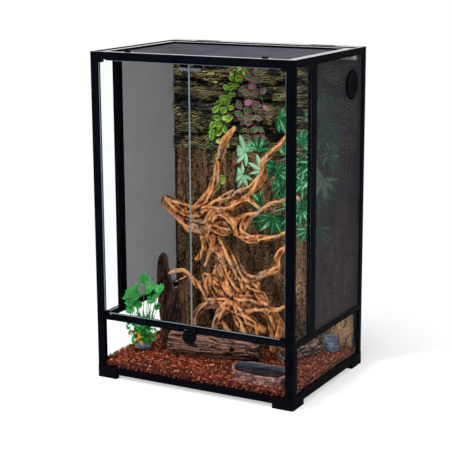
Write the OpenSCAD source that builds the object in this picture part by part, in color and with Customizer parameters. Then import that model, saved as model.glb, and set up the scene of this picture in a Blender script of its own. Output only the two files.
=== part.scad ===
// Tall glass terrarium with twin front doors, mesh side panels and a hinged screen lid,
// furnished with a rock and cork back wall, driftwood, foliage and a bark floor.
// The origin is at the floor, under the middle of the whole piece. The doors face -Y.

/* [Cabinet] */
// Overall width
cabinet_w = 610; // [590:5:760]
// Overall depth, without the door latch
cabinet_d = 457; // [430:1:600]
// Overall height, without the lid clips
cabinet_h = 914; // [880:1:1100]
// Glass thickness
glass_t = 4; // [3:0.5:5]
// Clearance of a pane in its groove, each side
glass_fit = 0.3; // [0.2:0.05:0.5]

/* [Frame] */
// Post width on the front face
post_w = 23; // [21:0.5:30]
// Post and rail depth, measured inwards
rail_t = 14.5; // [14:0.5:20]
// Radius of the outer edge of each post
post_round = 3; // [1:0.5:5]
// Outer wall of each profile, in front of its groove
profile_wall = 2.6; // [2:0.1:3.2]
// Depth of the pane grooves
groove_d = 6; // [4:0.5:7]
// Length of the glazing lips on the side face, below the middle rail
front_lip = 25.7; // [22:0.1:40]
// Length of the glazing lips on the side face of the rear posts
rear_lip = 21; // [18:0.1:30]
// Height of the underside of the bottom rails
rail_lift = 13; // [8:1:20]
// Height of the front and rear bottom rails
bottom_rail_h = 19; // [18:1:21]
// Height of the side bottom rails
side_bottom_rail_h = 24; // [22:1:30]
// Height of the underside of the front middle rail
mid_rail_z = 171; // [150:1:210]
// Height of the front middle rail
mid_rail_h = 16; // [15:0.5:22]
// Height of the underside of the side middle rails
side_mid_rail_z = 164; // [140:1:200]
// Height of the side middle rails
side_mid_rail_h = 17; // [15:0.5:24]
// Height of the top rails
top_rail_h = 20; // [18:1:26]
// Distance of the side mullions from the front face
mullion_y = 108; // [80:1:150]
// Width of the side mullions
mullion_w = 27; // [20:1:35]

/* [Feet and corners] */
// Height of the corner feet
foot_h = 34; // [33:1:37]
// Length of a foot along the front
foot_front = 60; // [40:1:90]
// Length of a foot along the side
foot_side = 66; // [40:1:90]
// How far the feet stand out past the rails
foot_proud = 1; // [0.5:0.1:2]
// Length of the tongues that hold the rails on the feet and corners
tongue_l = 18; // [10:1:30]
// Side of the square top corner blocks
corner_s = 23; // [22:0.5:32]
// Radius of the corner screws
screw_r = 2; // [1.5:0.1:2.2]
// Length of the corner screws
screw_l = 60; // [45:1:80]

/* [Doors] */
// Gap between the doors where they meet
door_meet_gap = 1.5; // [1:0.1:3]
// Gap below and above the door hinges
door_gap = 0.7; // [0.5:0.1:1.2]
// Distance of the door's front face behind the posts' front face
door_in = 2.5; // [2.2:0.1:4]
// Distance from the post to the pivot
pivot_in = 6.2; // [6:0.1:8]
// Radius of the hinge pivots
pivot_r = 2; // [1.5:0.1:2.5]
// Radial clearance of the hinge pivots
pivot_fit = 0.05; // [0.02:0.01:0.09]
// Width of a hinge cap
hinge_w = 14; // [12:1:40]
// Height of a hinge cap
hinge_h = 8; // [7:1:36]
// Thickness of a hinge cap
hinge_t = 8; // [7:0.5:9]
// Length of a magnet strike plate
strike_l = 31; // [20:1:45]

/* [Door latch] */
// Radius of the round latch knob
knob_r = 20.5; // [14:0.5:24]
// Thickness of the latch knob
knob_t = 5.5; // [4.5:0.5:8]
// Width of the latch housing
latch_w = 34; // [30:1:60]
// Travel of the latch bolt
latch_travel = 9; // [6:0.5:12]

/* [Screen lid] */
// Width of the lid's frame bars
lid_bar_w = 26; // [22:1:40]
// Thickness of the lid
lid_t = 8; // [7:0.5:9]
// Thickness of the mesh sheets
mesh_t = 0.8; // [0.5:0.1:1.2]
// Openings along the longer side of a side mesh
mesh_cells = 12; // [6:1:12]
// Width of the bars that stand for the wires of a side mesh
mesh_bar = 12; // [6:0.5:16]
// Openings along the longer side of the lid's mesh
lid_mesh_cells = 30; // [24:1:32]
// Width of the bars that stand for the wires of the lid's mesh
lid_mesh_bar = 5; // [4:0.5:8]
// Distance of the lid clips from the middle
clip_x = 205; // [150:5:215]
// Radius of the turn knob on a lid clip
clip_r = 9; // [7:0.5:11]
// Depth of the rear top rail, which holds the cable inlets
rear_rail_t = 40; // [36:1:60]

/* [Cable inlets] */
// Distance of the cable inlets from the middle
inlet_x = 200; // [120:5:215]
// Length of a cable inlet
inlet_l = 34; // [20:1:50]
// Width of a cable inlet
inlet_w = 18; // [12:1:20]

/* [Hose port] */
// Distance of the hose port in front of the rear face
port_back = 89; // [80:1:140]
// Distance of the hose port below the top
port_drop = 97; // [85:1:150]
// Outer radius of the hose port
port_r = 41; // [36:0.5:44]
// Radius of the bore in the hose port
port_bore_r = 27; // [20:0.5:30]

/* [Furnishing] */
// Depth of the bark floor above the base pan
floor_depth = 29; // [24:1:50]
// Height of the seam between the cork panels and the rock panel
rock_z = 598; // [500:1:650]
// Distance of the top of the rock panel below the lid
rock_drop = 38; // [30:1:80]
// Mean thickness of the rock and cork in front of the rear posts
wall_relief = 34; // [26:1:45]
// Radius of the ribbed log
log_r = 36; // [25:1:42]
// Height of the water dish
dish_h = 34; // [20:1:40]
// Thickness of the foliage leaves
leaf_t = 0.9; // [0.6:0.1:1.5]

/* [Hidden] */

frame_black = [0.05, 0.055, 0.075];
glass_green = [0.70, 0.86, 0.84, 0.35];
mesh_grey = [0.30, 0.30, 0.33];
steel = [0.75, 0.76, 0.78];

rest_gap = 0.3;
slide_gap = 0.25;
groove_w = glass_t + 2 * glass_fit;
chamber_x = 2.6;
chamber_wall = 2.6;
tongue_fit = 0.2;
chamber_w = rail_t - chamber_x - chamber_wall;
chamber_h = bottom_rail_h - groove_d - 2 * chamber_wall;

// Screw chamber of the top rails, which the top corners' tongues fill
top_chamber_x = 8.8;
top_chamber_z = 2.2;
top_chamber_s = 4;

// Half sizes of the frame's outer faces
fx = cabinet_w / 2 - foot_proud;
fy = cabinet_d / 2 - foot_proud;

// Latch: layers in front of the rail's face
latch_base_t = 2.5;
bolt_t = 2.5;
latch_lip_t = 2;
knob_gap = 0.5;
housing_t = latch_base_t + bolt_t + 2 * slide_gap + latch_lip_t;
latch_out = housing_t + knob_gap + knob_t - foot_proud;
mid_y = latch_out / 2;

// Heights
pane_z = rail_lift + bottom_rail_h - groove_d + glass_fit;
lower_front_top = mid_rail_z + groove_d - glass_fit;
lower_side_top = side_mid_rail_z + groove_d - glass_fit;
side_mid_top = side_mid_rail_z + side_mid_rail_h;
mid_rail_top = mid_rail_z + mid_rail_h;
top_rail_z = cabinet_h - top_rail_h;
upper_pane_top = top_rail_z + groove_d - glass_fit;

// Latch: places on the front middle rail
latch_y = mid_y - fy;
latch_top = mid_rail_top - 0.2;
latch_bottom = mid_rail_z - 12;
latch_screw_r = 1.5;
latch_screw_head_r = 2.5;
latch_screw_x = latch_w / 2 - 4;
latch_screw_z = mid_rail_z + mid_rail_h / 2;
knob_z = mid_rail_z - 9;
knob_rim = 3;
bolt_w = latch_w - 16;
bolt_tail = 8;
stem_r = 3.5;

// Base pan and what stands on it
pan_t = 4;
pan_ledge = 6;
pan_ledge_t = 3;
pan_z = rail_lift + 1 + pan_ledge_t;
pan_top = pan_z + pan_t;
floor_z = pan_top + floor_depth;
ground = floor_z + rest_gap;
rock_top = cabinet_h - rock_drop;

// The furnishing is laid out for this cabinet, with the floor's top at layout_ground
layout_w = 610;
layout_d = 457;
layout_ground = 50;
layout_rise = 825.7;

// Centre of the screw hole in each post
screw_x = 12;
screw_y = 10.6;
screw_fit = 0.1;
screw_head_r = 3.6;
screw_head_t = 2.4;

// Doors
pivot_x = fx - post_w - pivot_in;
pivot_y = -fy + door_in + glass_t / 2;
hinge_nose = hinge_t / 2;
hinge_nose_in = 1.5;
glass_past_pivot = 4;
hinge_floor = 2;
door_z = mid_rail_top + door_gap;
door_top = top_rail_z - door_gap;
pivot_l = 7;
strike_z = door_top - 20;
strike_h = 8;
strike_t = 1.2;

// Lid
lip_w = 6.5;
lid_ledge_z = top_rail_z + 10;
lid_gap = 0.5;
lid_z = lid_ledge_z + rest_gap;
lid_x = fx - lip_w - lid_gap;
lid_front = -fy + lip_w + lid_gap;
lid_axis_z = lid_z + lid_t / 2;
lid_axis_y = fy - rear_rail_t - lid_gap - lid_t / 2;
lid_pin_r = 2;
lid_pin_l = 4;
clip_y = lid_front + lid_bar_w;
clip_lug_w = 30;
clip_lug_d = 17;
clip_lug_z = 2.2;
clip_stem_r = 3;
clip_arm_l = 21;
clip_arm_w = 9;
clip_arm_t = 4;
clip_knob_t = 4;

// Cable inlets
plate_t = 6;
shutter_t = 2;
shutter_rim = 4;
shutter_l = inlet_l + 2 * shutter_rim;
inlet_y = fy - rear_rail_t / 2 - 2;
recess_d = shutter_t + 1.4;
run_l = shutter_l + inlet_l + 2 * slide_gap;

// Side panes
pane_x = fx - profile_wall - glass_fit - glass_t;
pane_y0 = -fy + rail_t - groove_d + glass_fit;
mullion_front = -cabinet_d / 2 + mullion_y;
mullion_back = mullion_front + mullion_w;
mesh_x = fx - profile_wall - groove_w / 2;
port_at_y = cabinet_d / 2 - port_back;
port_z = cabinet_h - port_drop;
port_tube_t = 2.5;
port_flange_t = 2.4;
port_depth = 9;

// Furnishing
inner_x = fx - profile_wall - groove_w - 1;
wall_back = fy - profile_wall - glass_fit - glass_t - rest_gap;
wall_face = fy - rear_lip - rest_gap;
panel_x = fx - 16.7;
dish_a = 86;
dish_b = 42;
dish_floor_t = 10;
leaf_green = [0.10, 0.42, 0.14];
wood_tan = [0.68, 0.42, 0.24];

module flip_x(on) { if (on) mirror([1, 0, 0]) children(); else children(); }
module flip_y(on) { if (on) mirror([0, 1, 0]) children(); else children(); }

// Puts a corner piece, drawn for the front left corner, at corner (sx, sy) of the frame
module at_corner(sx, sy) {
    translate([sx * fx, sy * fy, 0]) flip_x(sx > 0) flip_y(sy > 0) children();
}

// Extrudes a section along X, centred; the section's x runs inwards from the face
module rail_x(length) { translate([-length / 2, 0, 0]) rotate([90, 0, 90]) linear_extrude(length) children(); }

// Extrudes a section along Y from y0 to y1
module rail_y(y0, y1) { translate([0, y1, 0]) rotate([90, 0, 0]) linear_extrude(y1 - y0) children(); }

// Both long sides: drawn for the left, mirrored to the right
module both_sides() { children(); mirror([1, 0, 0]) children(); }

// ---- Posts -------------------------------------------------------------------------------

module post_section(lip) {
    difference() {
        union() {
            translate([post_round, 0]) square([post_w - post_round, rail_t]);
            translate([0, post_round]) square([post_w, rail_t - post_round]);
            translate([post_round, post_round]) circle(r = post_round, $fn = 32);
            translate([0, post_round]) square([profile_wall + groove_w + profile_wall, lip - post_round]);
        }
        translate([profile_wall, rail_t - groove_d]) square([groove_w, lip]);
        translate([screw_x, screw_y]) circle(r = screw_r + screw_fit, $fn = 32);
    }
}

module corner_groove() {
    translate([post_w - groove_d, profile_wall]) square([groove_d + 1, groove_w]);
}

module front_post() {
    difference() {
        union() {
            translate([0, 0, foot_h]) linear_extrude(top_rail_z - foot_h) post_section(rail_t);
            translate([0, 0, foot_h]) linear_extrude(side_mid_rail_z - foot_h) post_section(front_lip);
        }
        translate([0, 0, foot_h - 1]) linear_extrude(lower_front_top + glass_fit - foot_h + 1) corner_groove();
    }
}

module rear_post() {
    translate([0, 0, foot_h]) linear_extrude(top_rail_z - foot_h) difference() {
        post_section(rear_lip);
        corner_groove();
    }
}

module post_front_left() color(frame_black) translate([0, mid_y, 0]) at_corner(-1, -1) front_post();
module post_front_right() color(frame_black) translate([0, mid_y, 0]) at_corner(1, -1) front_post();
module post_rear_left() color(frame_black) translate([0, mid_y, 0]) at_corner(-1, 1) rear_post();
module post_rear_right() color(frame_black) translate([0, mid_y, 0]) at_corner(1, 1) rear_post();

// ---- Feet and top corners ----------------------------------------------------------------

// Tongue that fills a rail's chamber, with its fit all round
module tongue(length) {
    translate([0, chamber_x + tongue_fit, rail_lift + chamber_wall + tongue_fit])
        cube([length, chamber_w - 2 * tongue_fit, chamber_h - 2 * tongue_fit]);
}

module foot() {
    outer = rail_t + foot_proud;
    round_r = post_round + foot_proud;
    difference() {
        union() {
            translate([-foot_proud + round_r, -foot_proud, 0])
                cube([foot_front + foot_proud - round_r, outer, foot_h]);
            translate([-foot_proud, -foot_proud + round_r, 0])
                cube([outer, foot_side + foot_proud - round_r, foot_h]);
            translate([-foot_proud + round_r, -foot_proud + round_r, 0])
                cylinder(r = round_r, h = foot_h, $fn = 48);
            translate([foot_front, 0, 0]) tongue(tongue_l);
            translate([0, foot_side, 0]) mirror([1, -1, 0]) tongue(tongue_l);
        }
        translate([post_w - groove_d, profile_wall, pane_z - glass_fit])
            cube([foot_front, groove_w, foot_h]);
        translate([profile_wall, rail_t - groove_d, pane_z - glass_fit])
            cube([groove_w, foot_side, foot_h]);
        translate([screw_x, screw_y, -1]) cylinder(r = screw_r + screw_fit, h = foot_h + 2, $fn = 32);
        translate([screw_x, screw_y, -1])
            cylinder(r = screw_head_r + tongue_fit, h = screw_head_t + 2 + screw_fit, $fn = 32);
    }
}

module foot_front_left() color(frame_black) translate([0, mid_y, 0]) at_corner(-1, -1) foot();
module foot_front_right() color(frame_black) translate([0, mid_y, 0]) at_corner(1, -1) foot();
module foot_rear_left() color(frame_black) translate([0, mid_y, 0]) at_corner(-1, 1) foot();
module foot_rear_right() color(frame_black) translate([0, mid_y, 0]) at_corner(1, 1) foot();

// Top corner block, with its tongues, the lid's ledge and the ends of the pane grooves.
// The rear blocks are as deep as the rear rail.
module top_corner(rear) {
    depth = rear ? rear_rail_t : corner_s;
    tongue_s = top_chamber_s - 2 * tongue_fit;
    tongue_z = top_rail_z + top_chamber_z + tongue_fit;
    head_z = (rear ? cabinet_h : lid_ledge_z) - screw_head_t - tongue_fit;
    difference() {
        union() {
            translate([post_round, 0, top_rail_z]) cube([corner_s - post_round, depth, top_rail_h]);
            translate([0, post_round, top_rail_z]) cube([corner_s, depth - post_round, top_rail_h]);
            translate([post_round, post_round, top_rail_z]) cylinder(r = post_round, h = top_rail_h, $fn = 48);
            translate([corner_s, top_chamber_x + tongue_fit, tongue_z]) cube([tongue_l, tongue_s, tongue_s]);
            translate([top_chamber_x + tongue_fit, depth, tongue_z]) cube([tongue_s, tongue_l, tongue_s]);
        }
        if (!rear) translate([lip_w, lip_w, lid_ledge_z]) cube([corner_s, corner_s, top_rail_h]);
        translate([profile_wall, rail_t - groove_d, top_rail_z - 1])
            cube([groove_w, depth, groove_d + 1]);
        if (rear) translate([post_w - groove_d, profile_wall, top_rail_z - 1])
            cube([corner_s, groove_w, groove_d + 1]);
        translate([screw_x, screw_y, top_rail_z - 1])
            cylinder(r = screw_r + screw_fit, h = top_rail_h + 2, $fn = 32);
        translate([screw_x, screw_y, head_z])
            cylinder(r = screw_head_r + tongue_fit, h = top_rail_h, $fn = 32);
    }
}

module top_corners() color(frame_black) translate([0, mid_y, 0])
    for (sx = [-1, 1], sy = [-1, 1]) at_corner(sx, sy) top_corner(sy > 0);

module screw(length) {
    cylinder(r = screw_head_r, h = screw_head_t, $fn = 32);
    cylinder(r = screw_r, h = length, $fn = 32);
}

module corner_screws() color(steel) translate([0, mid_y, 0]) for (sx = [-1, 1], sy = [-1, 1])
    at_corner(sx, sy) translate([screw_x, screw_y, 0]) {
        translate([0, 0, 1]) screw(screw_l);
        translate([0, 0, sy > 0 ? cabinet_h : lid_ledge_z]) mirror([0, 0, 1]) screw(screw_l);
    }

// ---- Rails -------------------------------------------------------------------------------

module bottom_section(height) {
    difference() {
        union() {
            square([rail_t, height]);
            translate([rail_t, 1]) square([pan_ledge, pan_ledge_t]);
        }
        translate([profile_wall, pane_z - glass_fit - rail_lift]) square([groove_w, height]);
        translate([chamber_x, chamber_wall]) square([chamber_w, chamber_h]);
    }
}

module bottom_rail_front() color(frame_black)
    translate([0, mid_y - fy, rail_lift]) rail_x(2 * (fx - foot_front)) bottom_section(bottom_rail_h);

module bottom_rail_rear() color(frame_black) translate([0, mid_y + fy, rail_lift]) mirror([0, 1, 0])
    rail_x(2 * (fx - foot_front)) bottom_section(bottom_rail_h);

module bottom_rails_side() color(frame_black) translate([0, mid_y, 0]) both_sides()
    translate([-fx, 0, rail_lift]) rail_y(-fy + foot_side, fy - foot_side)
        bottom_section(side_bottom_rail_h);

// Front middle rail: two grooves in the face, pane groove below, stop lip behind the doors
module middle_rail_front() color(frame_black) translate([0, mid_y - fy, mid_rail_z]) difference() {
    rail_x(2 * (fx - post_w)) difference() {
        union() {
            square([rail_t, mid_rail_h]);
            translate([door_in + glass_t + 2, 0]) square([2.5, mid_rail_h + 3.5]);
        }
        translate([profile_wall, -1]) square([groove_w, groove_d + 1]);
        for (z = [0.36, 0.68]) translate([0, mid_rail_h * z]) circle(r = 0.9, $fn = 16);
    }
    for (sx = [-1, 1]) {
        translate([sx * pivot_x, door_in + glass_t / 2, mid_rail_h - pivot_l])
            cylinder(r = pivot_r + pivot_fit, h = pivot_l + 1, $fn = 32);
        translate([sx * (pivot_x - hinge_w / 2 + 3), door_in + glass_t + 3.25, mid_rail_h + 3])
            cube([hinge_w + 6, 6, 6], center = true);
        translate([sx * latch_screw_x, -1, latch_screw_z - mid_rail_z])
            rotate([-90, 0, 0]) cylinder(r = latch_screw_r + screw_fit, h = 9, $fn = 24);
    }
}

module middle_rails_side() color(frame_black) translate([0, mid_y, 0]) both_sides()
    translate([-fx, 0, side_mid_rail_z]) rail_y(-fy + rail_t, fy - rear_lip) difference() {
        square([rail_t, side_mid_rail_h]);
        translate([profile_wall, -1]) square([groove_w, groove_d + 1]);
        translate([profile_wall, side_mid_rail_h - groove_d]) square([groove_w, groove_d + 1]);
        for (z = [0.4, 0.62]) translate([0, side_mid_rail_h * z]) circle(r = 0.8, $fn = 16);
    }

module side_mullions() color(frame_black) translate([0, mid_y, 0]) both_sides()
    translate([-fx, mullion_front, side_mid_top]) linear_extrude(top_rail_z - side_mid_top) difference() {
        square([rail_t, mullion_w]);
        translate([profile_wall, -1]) square([groove_w, groove_d + 1]);
        translate([profile_wall, mullion_w - groove_d]) square([groove_w, groove_d + 1]);
        translate([profile_wall, groove_d + 2.5]) square([rail_t - 2 * profile_wall, mullion_w - 2 * groove_d - 5]);
    }

// Top rail section: outer lip, lid ledge, pane groove or door stop below
module top_section(stop) {
    difference() {
        union() {
            square([lip_w, top_rail_h]);
            square([rail_t, lid_ledge_z - top_rail_z]);
            if (stop) translate([door_in + glass_t + 2, -3.5]) square([2.5, 5]);
        }
        if (!stop) translate([profile_wall, -1]) square([groove_w, groove_d + 1]);
        translate([top_chamber_x, top_chamber_z]) square([top_chamber_s, top_chamber_s]);
    }
}

module top_rail_front() color(frame_black) translate([0, mid_y - fy, top_rail_z]) difference() {
    rail_x(2 * (fx - corner_s)) top_section(true);
    for (sx = [-1, 1]) {
        translate([sx * pivot_x, door_in + glass_t / 2, -1])
            cylinder(r = pivot_r + pivot_fit, h = pivot_l + 1, $fn = 32);
        translate([sx * (pivot_x - hinge_w / 2 + 3), door_in + glass_t + 3.25, -3])
            cube([hinge_w + 6, 6, 6], center = true);
    }
}

module top_rails_side() color(frame_black) translate([0, mid_y, 0]) both_sides() difference() {
    translate([-fx, 0, top_rail_z]) rail_y(-fy + corner_s, fy - rear_rail_t) top_section(false);
    // Bearing hole for the lid's pivot pin
    translate([-lid_x - lid_pin_l, lid_axis_y, lid_axis_z]) rotate([0, 90, 0])
        cylinder(r = lid_pin_r + pivot_fit, h = lid_pin_l + 1, $fn = 32);
}

// Rear top rail: deep plate with the cable inlets and the recesses of their shutters
module top_rail_rear() color(frame_black) translate([0, mid_y + fy, top_rail_z]) mirror([0, 1, 0])
difference() {
    rail_x(2 * (fx - corner_s)) difference() {
        union() {
            square([lip_w, top_rail_h]);
            square([rail_t, lid_ledge_z - top_rail_z]);
            translate([0, top_rail_h - plate_t]) square([rear_rail_t, plate_t]);
            translate([rear_rail_t - 3, top_rail_h - plate_t - 4]) square([3, 5]);
        }
        translate([profile_wall, -1]) square([groove_w, groove_d + 1]);
        translate([top_chamber_x, top_chamber_z]) square([top_chamber_s, top_chamber_s]);
    }
    for (sx = [-1, 1]) {
        translate([sx * inlet_x - inlet_l / 2, fy - inlet_y - inlet_w / 2, top_rail_h - plate_t - 1])
            cube([inlet_l, inlet_w, plate_t + 2]);
        translate([sx > 0 ? inlet_x - shutter_l / 2 - inlet_l - slide_gap : -inlet_x - shutter_l / 2 - slide_gap,
            fy - inlet_y - inlet_w / 2 - shutter_rim, top_rail_h - recess_d]) {
            cube([run_l, inlet_w + 2 * shutter_rim, shutter_t + 0.3]);
            translate([0, shutter_rim - 2, 0]) cube([run_l, inlet_w + 4, recess_d + 1]);
        }
    }
}

module base_pan() color([0.08, 0.08, 0.09]) translate([0, mid_y, 0]) {
    half_x = fx - rail_t - rest_gap;
    half_y = fy - rail_t - rest_gap;
    translate([-half_x, -half_y, pan_z]) cube([2 * half_x, 2 * half_y, pan_t]);
    for (i = [-2:2]) translate([i * half_x / 2.6 - 2, -half_y + 10, pan_z - 3])
        cube([4, 2 * half_y - 20, 3.5]);
}

// ---- Panes -------------------------------------------------------------------------------

module lower_glass_front() color(glass_green)
    translate([-(fx - post_w + groove_d - glass_fit), mid_y - fy + profile_wall + glass_fit, pane_z])
        cube([2 * (fx - post_w + groove_d - glass_fit), glass_t, lower_front_top - pane_z]);

module side_pane(y0, y1, z0, z1) {
    both_sides() translate([-pane_x - glass_t, y0, z0]) cube([glass_t, y1 - y0, z1 - z0]);
}

module lower_glass_sides() color(glass_green) translate([0, mid_y, 0])
    side_pane(pane_y0, -pane_y0, pane_z, lower_side_top);

module side_glass_strips() color(glass_green) translate([0, mid_y, 0])
    side_pane(pane_y0, mullion_front + groove_d - glass_fit,
        side_mid_top - groove_d + glass_fit, upper_pane_top);

module rear_glass() color(glass_green)
    translate([-(fx - post_w + groove_d - glass_fit), mid_y + fy - profile_wall - glass_fit - glass_t, pane_z])
        cube([2 * (fx - post_w + groove_d - glass_fit), glass_t, upper_pane_top - pane_z]);

// Grid of openings that fills an area from its corner, even along both sides
module openings(area, cells, bar) {
    pitch = max(area) / cells;
    n = [for (l = area) max(1, round(l / pitch))];
    cell = [area.x / n.x, area.y / n.y];
    for (i = [0:n.x - 1], j = [0:n.y - 1])
        translate([(i + 0.5) * cell.x, (j + 0.5) * cell.y]) square(cell - [bar, bar], center = true);
}

// Mesh sheet held in an edge channel that fills the frame's grooves, with the seat of the hose port
module side_mesh(port) {
    y0 = mullion_back - groove_d + glass_fit;
    z0 = side_mid_top - groove_d + glass_fit;
    edge = [groove_d - glass_fit, groove_d - glass_fit];
    area = [-pane_y0 - y0, upper_pane_top - z0];
    at_seat = [port_at_y - y0, port_z - z0];
    translate([mesh_x, 0, 0]) rotate([90, 0, 90]) translate([y0, z0, 0]) {
        linear_extrude(mesh_t, center = true) difference() {
            square(area);
            difference() {
                translate(edge) openings(area - 2 * edge, mesh_cells, mesh_bar);
                if (port) translate(at_seat) circle(r = port_r, $fn = 64);
            }
            if (port) translate(at_seat) circle(r = port_bore_r + port_tube_t + 0.2, $fn = 64);
        }
        linear_extrude(glass_t, center = true) difference() {
            square(area);
            translate(edge) square(area - 2 * edge);
        }
    }
}

module side_mesh_left() color(mesh_grey) translate([0, mid_y, 0]) mirror([1, 0, 0]) side_mesh(false);
module side_mesh_right() color(mesh_grey) translate([0, mid_y, 0]) side_mesh(true);

// ---- Hose port ---------------------------------------------------------------------------

// Puts a piece turned about Z on the port's axis, with z = 0 at the mesh's outer face
module at_port() {
    translate([mesh_x + mesh_t / 2, mid_y + port_at_y, port_z]) rotate([0, 90, 0]) children();
}

module port_ring() color(frame_black) at_port() rotate_extrude($fn = 96) union() {
    translate([port_bore_r, 0.1]) square([port_r - port_bore_r - 2, port_flange_t - 0.1]);
    translate([port_r - 2, 0.1]) square([2, port_flange_t - 1.2]);
    translate([port_bore_r, -port_depth]) square([port_tube_t, port_depth + 0.2]);
}

module port_clamp_ring() color(frame_black) at_port() rotate_extrude($fn = 96)
    translate([port_bore_r + port_tube_t + 0.15, -mesh_t - 0.1 - 3]) square([port_r - port_bore_r - port_tube_t - 6, 3]);

// Dished cover with a hollow plug and a raised centre button
module port_cover() color(frame_black) at_port() rotate_extrude($fn = 96) union() {
    lip_z = port_flange_t + 0.1;
    polygon([[0, lip_z - 1.6], [0, lip_z + 1.4], [5, lip_z + 1.4], [6.5, lip_z + 0.1], [12, lip_z - 0.2],
        [port_bore_r - 3, lip_z + 0.4], [port_bore_r, lip_z + 1.5], [port_r - 5, lip_z + 1.3],
        [port_r - 3, lip_z], [port_bore_r - 0.15, lip_z], [port_bore_r - 0.15, -5], [port_bore_r - 2.2, -5],
        [port_bore_r - 2.2, lip_z - 1.6]]);
}

// ---- Doors -------------------------------------------------------------------------------

// Everything on a door is drawn for the left door, closed, and mirrored for the right one
module door_pane() {
    x0 = -pivot_x - glass_past_pivot;
    translate([x0, pivot_y - glass_t / 2, door_z + hinge_floor + 0.1])
        cube([-x0 - door_meet_gap / 2, glass_t, door_top - door_z - 2 * hinge_floor - 0.2]);
}

// Plastic corner cap with its pivot, for the lower corner
module hinge_cap() {
    difference() {
        union() {
            translate([0, -hinge_t / 2, 0]) cube([hinge_w - hinge_nose, hinge_t, hinge_h]);
            translate([-hinge_nose_in, 0, 0]) cylinder(r = hinge_nose, h = hinge_h, $fn = 48);
            translate([-hinge_nose_in, -hinge_t / 2, 0]) cube([hinge_nose_in, hinge_t, hinge_h]);
        }
        translate([-glass_past_pivot - 0.1, -glass_t / 2 - 0.1, hinge_floor])
            cube([hinge_w + glass_past_pivot, glass_t + 0.2, hinge_h]);
        translate([hinge_w - hinge_nose, 0, hinge_h]) rotate([0, 45, 0])
            cube([hinge_h * 0.5, hinge_t + 2, hinge_h * 0.5], center = true);
    }
    translate([0, 0, -pivot_l + 0.3]) cylinder(r = pivot_r, h = pivot_l, $fn = 32);
}

module door_hinge_pair() {
    translate([-pivot_x, pivot_y, door_z]) hinge_cap();
    translate([-pivot_x, pivot_y, door_top]) mirror([0, 0, 1]) hinge_cap();
}

// Steel strike plate on the inner face of the pane, below the magnet
module strike() {
    translate([-door_meet_gap / 2 - 3 - strike_l, pivot_y + glass_t / 2 + 0.05, strike_z]) difference() {
        cube([strike_l, strike_t, strike_h]);
        for (x = [5, strike_l - 5]) translate([x, -1, strike_h / 2]) rotate([-90, 0, 0])
            cylinder(r = 1.6, h = 4, $fn = 24);
    }
}

module door_glass_left() color(glass_green) translate([0, mid_y, 0]) door_pane();
module door_glass_right() color(glass_green) translate([0, mid_y, 0]) mirror([1, 0, 0]) door_pane();
module door_hinges_left() color(frame_black) translate([0, mid_y, 0]) door_hinge_pair();
module door_hinges_right() color(frame_black) translate([0, mid_y, 0]) mirror([1, 0, 0]) door_hinge_pair();
module door_strike_left() color(steel) translate([0, mid_y, 0]) strike();
module door_strike_right() color(steel) translate([0, mid_y, 0]) mirror([1, 0, 0]) strike();

// Two magnet holders that hang from the front top rail behind the doors
module magnet_holders() color(frame_black) translate([0, mid_y, 0]) both_sides() {
    y0 = pivot_y + glass_t / 2 + strike_t + 0.6;
    rail_back = -fy + rail_t;
    translate([-door_meet_gap / 2 - 3 - strike_l + 3, rail_back + 0.1, strike_z - 1])
        cube([strike_l - 6, 4, lid_ledge_z - strike_z - 2]);
    translate([-door_meet_gap / 2 - 3 - strike_l + 3, y0, strike_z - 1])
        cube([strike_l - 6, rail_back + 4 - y0, strike_h + 2]);
}

// ---- Door latch --------------------------------------------------------------------------

// Housing: base plate on the rail, two side guides and a front lip over the bolt's edges
module latch_housing() color(frame_black) difference() {
    translate([-latch_w / 2, latch_y - housing_t, latch_bottom]) cube([latch_w, housing_t, latch_top - latch_bottom]);
    translate([-bolt_w / 2 - slide_gap, latch_y - latch_base_t - bolt_t - 2 * slide_gap, latch_bottom - 1])
        cube([bolt_w + 2 * slide_gap, bolt_t + 2 * slide_gap, latch_top - latch_bottom + 2]);
    // Slot for the knob's stem
    translate([-stem_r - slide_gap, latch_y - housing_t - 1, latch_bottom - 1])
        cube([2 * (stem_r + slide_gap), latch_lip_t + 2, knob_z + latch_travel + stem_r - latch_bottom + 2]);
    for (sx = [-1, 1]) translate([sx * latch_screw_x, latch_y - housing_t - 1, latch_screw_z]) rotate([-90, 0, 0]) {
        cylinder(r = latch_screw_r + screw_fit, h = housing_t + 2, $fn = 24);
        cylinder(r = latch_screw_head_r + 2 * screw_fit, h = 2.6, $fn = 24);
    }
}

module latch_screws() color(steel) for (sx = [-1, 1])
    translate([sx * latch_screw_x, latch_y - housing_t + 0.2, latch_screw_z]) rotate([-90, 0, 0]) {
        cylinder(r = latch_screw_r, h = housing_t + 6, $fn = 24);
        cylinder(r = latch_screw_head_r, h = 1.3, $fn = 24);
    }

// Flat bolt that rises in front of both panes
module latch_bolt() color(steel)
    translate([-bolt_w / 2, latch_y - latch_base_t - slide_gap - bolt_t, knob_z - bolt_tail])
        cube([bolt_w, bolt_t, mid_rail_top - 0.4 - knob_z + bolt_tail]);

// Dished round knob with a raised rim, a finger bar and its stem
module latch_knob() color(frame_black) translate([0, latch_y - housing_t - knob_gap, knob_z]) rotate([90, 0, 0]) {
    rotate_extrude($fn = 96) polygon([[0, 0], [knob_r - 1, 0], [knob_r, 1], [knob_r, knob_t - knob_rim / 2],
        [knob_r - knob_rim / 2, knob_t], [knob_r - knob_rim, knob_t], [knob_r - knob_rim - 2, knob_t - 1.6],
        [0, knob_t - 2.2]]);
    bar_l = 2 * (knob_r - 2 * knob_rim);
    translate([-bar_l / 2, -2, knob_t - 3]) cube([bar_l, 4, 2.6]);
    translate([0, 0, -knob_gap - latch_lip_t - slide_gap]) cylinder(r = stem_r, h = 4, $fn = 32);
}

// ---- Lid ---------------------------------------------------------------------------------

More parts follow.
